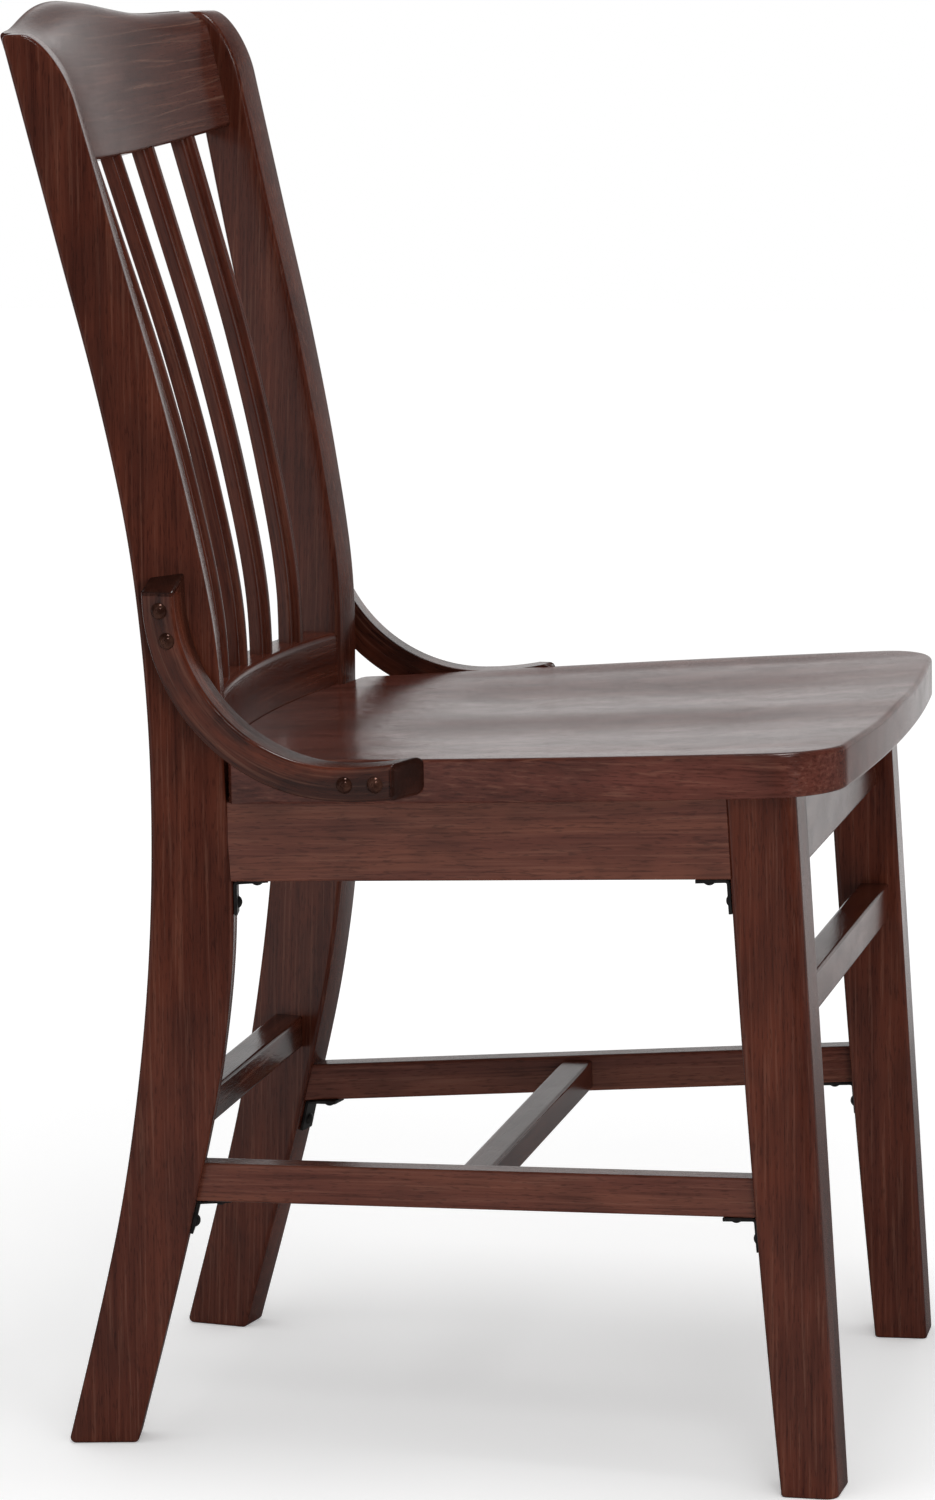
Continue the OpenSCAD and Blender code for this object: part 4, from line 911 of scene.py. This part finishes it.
def seatOutline():
    # left half from the middle of the rear edge to the middle of the front, then its mirror;
    # a few steps find the centre m of the corner that touches the side and the nose
    c = seat["corner"]
    m = np.array([seat["width"] / 2 - c, -seat["front"] + c])
    for _ in range(5):
        sideSlopeHere = (seatSide(m[1] + 1) - seatSide(m[1] - 1)) / 2
        noseSlope = (seatNose(m[0] + 1) - seatNose(m[0] - 1)) / 2
        m = np.array([seatSide(m[1]) - c * math.hypot(1, sideSlopeHere),
                      seatNose(m[0]) + c * math.hypot(1, noseSlope)])
    start, end = -math.degrees(math.atan(sideSlopeHere)), math.degrees(math.atan(noseSlope)) - 90
    x = np.linspace(0, notchX, 40)
    rear = np.stack([x, float(railFrontY(seatLevel)) + bow(railHalf, x / railHalf) - clearance], -1)
    notchFront = float(postFrontY(notchX, seatLevel)) - clearance
    step = np.stack([np.full(8, notchX), np.linspace(rear[-1, 1], notchFront, 9)[1:]], -1)
    x = np.linspace(notchX, seatSide(seatRearY) - 3, 14)[1:]
    postEdge = np.stack([x, postFrontY(x, seatLevel) - seat["postGap"]], -1)
    y = np.linspace(seatRearY - 4, m[1] + c * math.sin(math.radians(start)), 90)
    sideLine = np.stack([seatSide(y), y], -1)
    x = np.linspace(m[0] + c * math.cos(math.radians(end)), 0, 60)[1:]
    nose = np.stack([x, seatNose(x)], -1)
    half = np.concatenate([rear, step, postEdge, sideLine, cornerArc(m, c, start, end, 20)[1:],
                           nose])
    return np.concatenate([half, (half * [-1, 1])[-2:0:-1]])[::-1]


def buildSeat():
    outline = seatOutline()
    normal = outlineNormals(outline)
    # the rear edge butts against the rail and the posts, so it is hardly eased there
    share = softStep((seatRearY - 6 - outline[:, 1]) / 25)
    share = seat["rearEase"] + (1 - seat["rearEase"]) * share
    e, u = seat["edge"], seat["underEase"]
    rings = []

    def add(inset, rise, level):
        p = outline - inset * share[:, None] * normal
        rings.append(np.column_stack([p, level(p[:, 0], p[:, 1]) + rise * share]))

    turn = np.radians(np.linspace(0, 90, 6))
    for inset, rise in [(u + 1.2, 0), *zip(u * (1 - np.sin(turn)), u * (1 - np.cos(turn))),
                        (0, u + 1)]:
        add(inset, rise, lambda x, y: underZ(y))
    turn = np.radians(np.linspace(0, 90, 9))
    for inset, rise in [(0, -e - 0.8), *zip(e * (1 - np.cos(turn)), e * (np.sin(turn) - 1))]:
        add(inset, rise, seatTop)
    inner = outline - e * share[:, None] * normal
    middle = np.array([0, seat["middleY"]])
    for k in np.concatenate([[0.99], np.linspace(0.975, 0.02, 62)]):
        p = middle + k * (inner - middle)
        rings.append(np.column_stack([p, seatTop(p[:, 0], p[:, 1])]))
    grain = [np.stack([r[:, 1], r[:, 0], r[:, 2]], -1) for r in rings]
    # the seat takes the lighter wood, whose paler tone is painted light
    return dress(loft("Saddle_board", rings, grain), woodSeatPaintedLight, ["seat"])


buildSeat()
print("seat built")


# side braces: a bent band from the post down to the seat's side

brace = {
    "radius": 99.0, "band": 20.5, "thickness": 21.0, "y": 40.2, "rise": 98.6, "drop": 23.4,
    "flare": 200.0, "underFlare": 320.0, "run": 36.0, "let": 0.9, "bevel": 34.0,
    "topBevel": 26.0, "edge": 1.9, "innerEdge": 0.5, "endEase": 2.2,
    "endCorners": [6.0, 5.0, 2.4, 2.4], "endShare": 0.2,
}
braceTop = seat["height"] + brace["rise"]
braceLow = seat["height"] - brace["drop"]
braceMiddleZ = braceLow + brace["band"] + brace["radius"]
braceRearY = brace["y"] + brace["radius"] + brace["band"] / 4
braceX = float(seatSide(0)) - brace["let"]
braceRearX = float(postSideX(braceRearY, braceTop - brace["band"], 0)) - brace["let"]
braceTurn = math.atan((braceX - braceRearX) / braceRearY)


def bracePoint(w, y, z):
    # w runs outward from the seat's side and the post's, which braceTurn follows in plan
    w, y, z = np.broadcast_arrays(np.asarray(w, float), y, z)
    return np.stack([braceX + w * math.cos(braceTurn) - y * math.sin(braceTurn),
                     w * math.sin(braceTurn) + y * math.cos(braceTurn), z], -1)


def buildBrace(side):
    # the band's section carried along a flared run, a quarter ring and a straight top
    r, band, thick = brace["radius"], brace["band"], brace["thickness"]
    outer = r + band
    plain = roundedLoop([0, 0], [band, thick],
                        [brace["innerEdge"], brace["innerEdge"], brace["edge"], brace["edge"]])
    blunt = roundedLoop([0, 0], [band, thick], brace["endCorners"])
    rings, grain = [], []

    def add(inner, rim, along, loop=plain):
        # inner and rim: (y, z) of the band's two edges from the curve's centre
        share, w = loop[:, 0] / band, loop[:, 1]
        p = [i + (o - i) * share for i, o in zip(inner, rim)]
        rings.append(bracePoint(w, brace["y"] + p[0], braceMiddleZ + p[1]))
        grain.append(np.stack([along + 0 * w, loop[:, 0], w], -1))

    w = plain[:, 1]
    for k in np.linspace(1, 0, 31)[:-1]:
        # the section grows rounder over its last stretch
        blend = float(softStep((k - 1 + brace["endShare"]) / brace["endShare"]))
        loop = plain + (blunt - plain) * blend
        frontEnd = -brace["run"] - (thick - loop[:, 1]) * math.tan(math.radians(brace["bevel"]))
        y = frontEnd * k
        add((y, brace["flare"] - r - np.sqrt(brace["flare"] ** 2 - y**2)),
            (y, brace["underFlare"] - outer - np.sqrt(brace["underFlare"] ** 2 - y**2)), y, loop)
    for a in np.linspace(0, math.pi / 2, 49):
        add((r * math.sin(a), -r * math.cos(a)), (outer * math.sin(a), -outer * math.cos(a)),
            (r + band / 2) * a)
    topEnd = braceTop - braceMiddleZ + (thick - w) * math.tan(math.radians(brace["topBevel"]))
    for k in np.linspace(0, 1, 7)[1:]:
        add((r + 0 * w, topEnd * k), (outer + 0 * w, topEnd * k), r * 1.8 + topEnd * k)
    piece = loft(f"Side_brace_{side}", rings, grain, ease=(brace["endEase"], brace["endEase"]),
                 mirrored=side == "right")
    return dress(piece, woodDark, [f"side_brace_{side}"])


for side in ("left", "right"):
    buildBrace(side)
print("side braces built")


# screws and brackets

# upper and lower place the screws of a brace: the share of the band's width, and the distance
# below its top end or in front of the ring's centre
screw = {
    "head": 10.2, "rise": 0.34, "slotLength": 1.6, "slotWidth": 0.25, "slotDepth": 0.5,
    "slotEase": 0.35, "recess": 3.2, "shank": 4.0, "length": 6.0, "lip": 0.05,
    "upper": [[0.42, 11.0], [0.21, 29.0]], "lower": [[0.5, 6.0], [0.54, 25.0]],
}


def headGrid():
    # a ball's cap on a grid of radius and angle; the height drops in a cross, which fades out
    # beside its arms and at their ends
    h, ease = screw["head"] * screw["rise"], screw["slotEase"]
    ball = (screw["head"] ** 2 / 4 + h**2) / (2 * h)
    radius = np.concatenate([np.linspace(screw["lip"], screw["recess"], 26),
                             np.linspace(screw["recess"] + 0.2, screw["head"] / 2, 8)])
    angle = np.linspace(0, 2 * math.pi, 97)[:-1]
    rr, aa = np.meshgrid(radius, angle, indexing="ij")
    x, y = rr * np.cos(aa), rr * np.sin(aa)
    z = np.sqrt(ball**2 - rr**2) + h - ball
    beside = np.maximum(np.minimum(abs(x), abs(y)) - screw["slotWidth"], 0)
    beyond = (rr - screw["slotLength"] + 0.3) / 0.6
    inside = (1 - softStep(beside / ease)) * (1 - softStep(beyond))
    return np.stack([x, y, np.maximum(z - screw["slotDepth"] * inside, 0)], -1)


def buildBraceScrews():
    head = headGrid()
    lip = [0, 0, screw["lip"]]
    edge = head[-1:] * [1, 1, 0]
    neck = edge * screw["shank"] / screw["head"]
    rings = np.concatenate([head, edge - lip, neck - lip, neck - [0, 0, screw["length"]]])
    quads, caps = ringFaces(*rings.shape[:2])
    ringY = brace["y"] + brace["radius"]
    spots = [[ringY + brace["band"] * share, braceTop - down] for share, down in screw["upper"]]
    spots += [[brace["y"] - ahead, braceLow + brace["band"] * share]
              for share, ahead in screw["lower"]]
    points, faces, ends = [], [], []
    flat = rings.reshape(-1, 3)
    for sign in (1, -1):
        for number, (y, z) in enumerate(spots):
            # each cross is turned another way
            turn = 0.5 + 1.1 * number + sign
            a = flat[:, 0] * math.cos(turn) - flat[:, 1] * math.sin(turn)
            b = flat[:, 0] * math.sin(turn) + flat[:, 1] * math.cos(turn)
            p = bracePoint(brace["thickness"] + flat[:, 2], y / math.cos(braceTurn) + a, z + b)
            base = len(points) * len(flat)
            faces.append(quads[:, ::sign] + base)
            ends += [c[::sign] + base for c in caps]
            points.append(p * [sign, 1, 1])
    piece = buildMesh("Brace_screws", np.concatenate(points), np.concatenate(faces), ends)
    return dress(piece, screwBrown, ["brace_screws"])


hardware = {"softEdge": 0.3, "bevelFrom": 35.0, "sharpFrom": 30.0}  # mm and degrees


def bevelledCopy(node, label):
    # CAD mesh with its seams merged and its edges softened
    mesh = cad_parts[node].data.copy()
    mesh.name = label
    work = bmesh.new()
    work.from_mesh(mesh)
    bmesh.ops.remove_doubles(work, verts=work.verts, dist=1e-6)
    work.to_mesh(mesh)
    work.free()
    mesh.shade_smooth()
    mesh.set_sharp_from_angle(angle=math.radians(hardware["sharpFrom"]))
    piece = addObject(label, mesh)
    bevel = piece.modifiers.new("Soft edges", "BEVEL")
    bevel.width = hardware["softEdge"] * mm
    bevel.segments = 2
    bevel.limit_method = "ANGLE"
    bevel.angle_limit = math.radians(hardware["bevelFrom"])
    return piece


def paint(node, material):
    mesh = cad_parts[node].data
    mesh.materials.clear()
    mesh.materials.append(material)


buildBraceScrews()
for kind in ("apron", "stretcher"):
    dress(bevelledCopy(f"{kind}_brackets", f"{kind.capitalize()}_brackets"), steelDark,
          [f"{kind}_brackets"])
for node in ("bracket_screws", "block_screws", "seat_screws"):
    paint(node, steelDark)
paint("corner_blocks", blockWood)
print("screws, brackets and blocks dressed")


# studio

studio = {
    "floorColour": "#fbfbfb", "floorMirrored": "#808080", "floorGlow": [0.25, 0.45],
    "floorGlossyGlow": 0.75, "floorFade": [0.6, 1.8], "floorSize": 8.0, "floorNear": 0.9,
    "slantFrom": -0.25, "slantNear": 0.1, "skyDiffuse": 0.6, "sweepGlossy": 0.85,
    "sweepSide": [-0.62, 0.0], "frontGlossy": 0.34, "sweepEnd": [0.2, 0.7],
    "sweepTop": [0.15, 0.36], "upperGlossy": 0.32, "roomGlossy": 0.06, "rearLight": 0.38,
    "rearSide": [-0.3, -0.7], "rearBack": [0.1, 0.6],
}
# name, place, aim, size in metres, power in watts, whether the lacquer mirrors it
lamps = [
    ("Top softbox", (-0.1, -0.1, 2.4), (0, 0, 0.5), (0.9, 0.5), 12.0, True),
    ("Side softbox", (-1.7, -1.0, 0.25), (0, 0, 0.35), (0.6, 0.5), 8.5, False),
    ("High softbox", (-2.0, -0.7, 2.1), (0, 0, 0.5), (0.6, 0.6), 7.0, True),
]
# the photograph's own camera, solved from the chair's edges
view = {
    "azimuth": -78.2376, "elevation": 9.1311, "roll": -0.8019,
    "place": [-3.3683, -0.76685, 0.9782], "lens": 134.34, "shift": [-0.0767, -0.01105],
}


def buildFloor():
    # it stops a little way before the chair, so that the near faces don't mirror a white floor
    size, near = studio["floorSize"], -studio["floorNear"]
    mesh = bpy.data.meshes.new("Floor")
    mesh.from_pydata([(near, -size, 0), (size, -size, 0), (size, size, 0), (near, size, 0)],
                     [], [(0, 1, 2, 3)])
    floor = addObject("Floor", mesh)
    material, tree = newMaterial("Floor, matt white")
    # the camera sees it white but for the shadow; the lacquer mirrors it dark round the chair
    # and white further off, below the sweep
    path = addNode(tree, "LightPath").node.outputs
    place = addNode(tree, "TexCoord", out="Object")
    distance = addNode(tree, "VectorMath", {"operation": "LENGTH"}, [place], "Value")
    seen = addNode(tree, "MapRange", smooth, [distance, *studio["floorFade"], *studio["floorGlow"]])
    x, y = addNode(tree, "SeparateXYZ", {}, [place]).node.outputs[:2]
    slant = addNode(tree, "Math", {"operation": "DIVIDE"}, [
        addNode(tree, "Math", less, [y, studio["slantFrom"]]),
        addNode(tree, "Math", {"operation": "MAXIMUM"}, [x, studio["slantNear"]])])
    mirrored = addNode(tree, "Math", times, [
        addNode(tree, "MapRange", smooth, [slant, *studio["sweepSide"]]),
        addNode(tree, "MapRange", smooth, [x, *studio["floorFade"], 0, studio["floorGlossyGlow"]])])
    strength = addNode(tree, "Math", plus, [
        addNode(tree, "Math", times, [path["Is Camera Ray"], seen]),
        addNode(tree, "Math", times, [path["Is Glossy Ray"], mirrored])])
    glow = addNode(tree, "Emission", {}, {"Strength": strength})
    tone = addNode(tree, "Mix", {"data_type": "RGBA"}, {
        0: path["Is Glossy Ray"], 6: colour(studio["floorColour"]),
        7: colour(studio["floorMirrored"])}, 2)
    both = addNode(tree, "AddShader", {}, [addNode(tree, "BsdfDiffuse", {}, [tone]), glow])
    addNode(tree, "OutputMaterial", {}, [both])
    mesh.materials.append(material)


def buildWorld():
    # white to the camera, dimmer to reflections and to plain light
    world = bpy.data.worlds.new("Studio")
    bpy.context.scene.world = world
    world.use_nodes = True
    tree = world.node_tree
    tree.nodes.clear()
    path = addNode(tree, "LightPath").node.outputs
    # what the lacquer mirrors: a white sweep behind the chair, a dimmer room in front of it
    # and above, darkness behind the camera and a weak light to the rear of the camera's side
    way = addNode(tree, "TexCoord", out="Generated")
    x, y, z = addNode(tree, "SeparateXYZ", {}, [way]).node.outputs
    room = addNode(tree, "MapRange", smooth, [
        y, *studio["sweepSide"], studio["frontGlossy"], studio["sweepGlossy"]])
    for axis, span, share in ((z, "sweepTop", [1.0, studio["upperGlossy"]]),
                              (x, "sweepEnd", [studio["roomGlossy"], 1.0])):
        fade = addNode(tree, "MapRange", smooth, [axis, *studio[span], *share])
        room = addNode(tree, "Math", times, [room, fade])
    rear = addNode(tree, "Math", times, [
        addNode(tree, "MapRange", smooth, [x, *studio["rearSide"]]),
        addNode(tree, "MapRange", smooth, [y, *studio["rearBack"], 0, studio["rearLight"]])])
    room = addNode(tree, "Math", plus, [rear, room])
    level = addNode(tree, "Mix", {"data_type": "FLOAT"}, {
        0: path["Is Glossy Ray"], 2: studio["skyDiffuse"], 3: room})
    shown = addNode(tree, "Mix", {"data_type": "FLOAT"}, {
        0: path["Is Camera Ray"], 2: level, 3: 1.0})
    sky = addNode(tree, "Background", {}, [(1, 1, 1, 1), shown])
    addNode(tree, "OutputWorld", {}, [sky])


def placed(right, up, back, place):
    return Matrix([[right[i], up[i], back[i], place[i]] for i in range(3)] + [[0, 0, 0, 1]])


def addLamp(name, place, aim, size, power, mirrored):
    light = bpy.data.lights.new(name, "AREA")
    light.shape = "RECTANGLE"
    light.size, light.size_y = size
    light.energy = power
    lamp = addObject(name, light)
    back = np.array(place, float) - np.array(aim, float)
    back /= np.linalg.norm(back)
    right = np.cross([0, 0, 1] if abs(back[2]) < 0.95 else [0, 1, 0], back)
    right /= np.linalg.norm(right)
    lamp.matrix_world = placed(right, np.cross(back, right), back, place)
    lamp.visible_glossy = mirrored


def addCamera():
    azimuth, elevation, roll = np.radians([view["azimuth"], view["elevation"], view["roll"]])
    back = np.array([math.sin(azimuth) * math.cos(elevation),
                     -math.cos(azimuth) * math.cos(elevation), math.sin(elevation)])
    level = np.array([math.cos(azimuth), math.sin(azimuth), 0])
    up = np.cross(back, level)
    data = bpy.data.cameras.new("Camera")
    data.lens = view["lens"]
    data.sensor_width = 36
    data.shift_x, data.shift_y = view["shift"]
    data.clip_end = 100
    camera = addObject("Camera", data)
    camera.matrix_world = placed(math.cos(roll) * level + math.sin(roll) * up,
                                 math.cos(roll) * up - math.sin(roll) * level, back,
                                 view["place"])
    bpy.context.scene.camera = camera


buildFloor()
buildWorld()
for lamp in lamps:
    addLamp(*lamp)
addCamera()
bpy.context.scene.view_settings.view_transform = "Standard"
print("studio set")
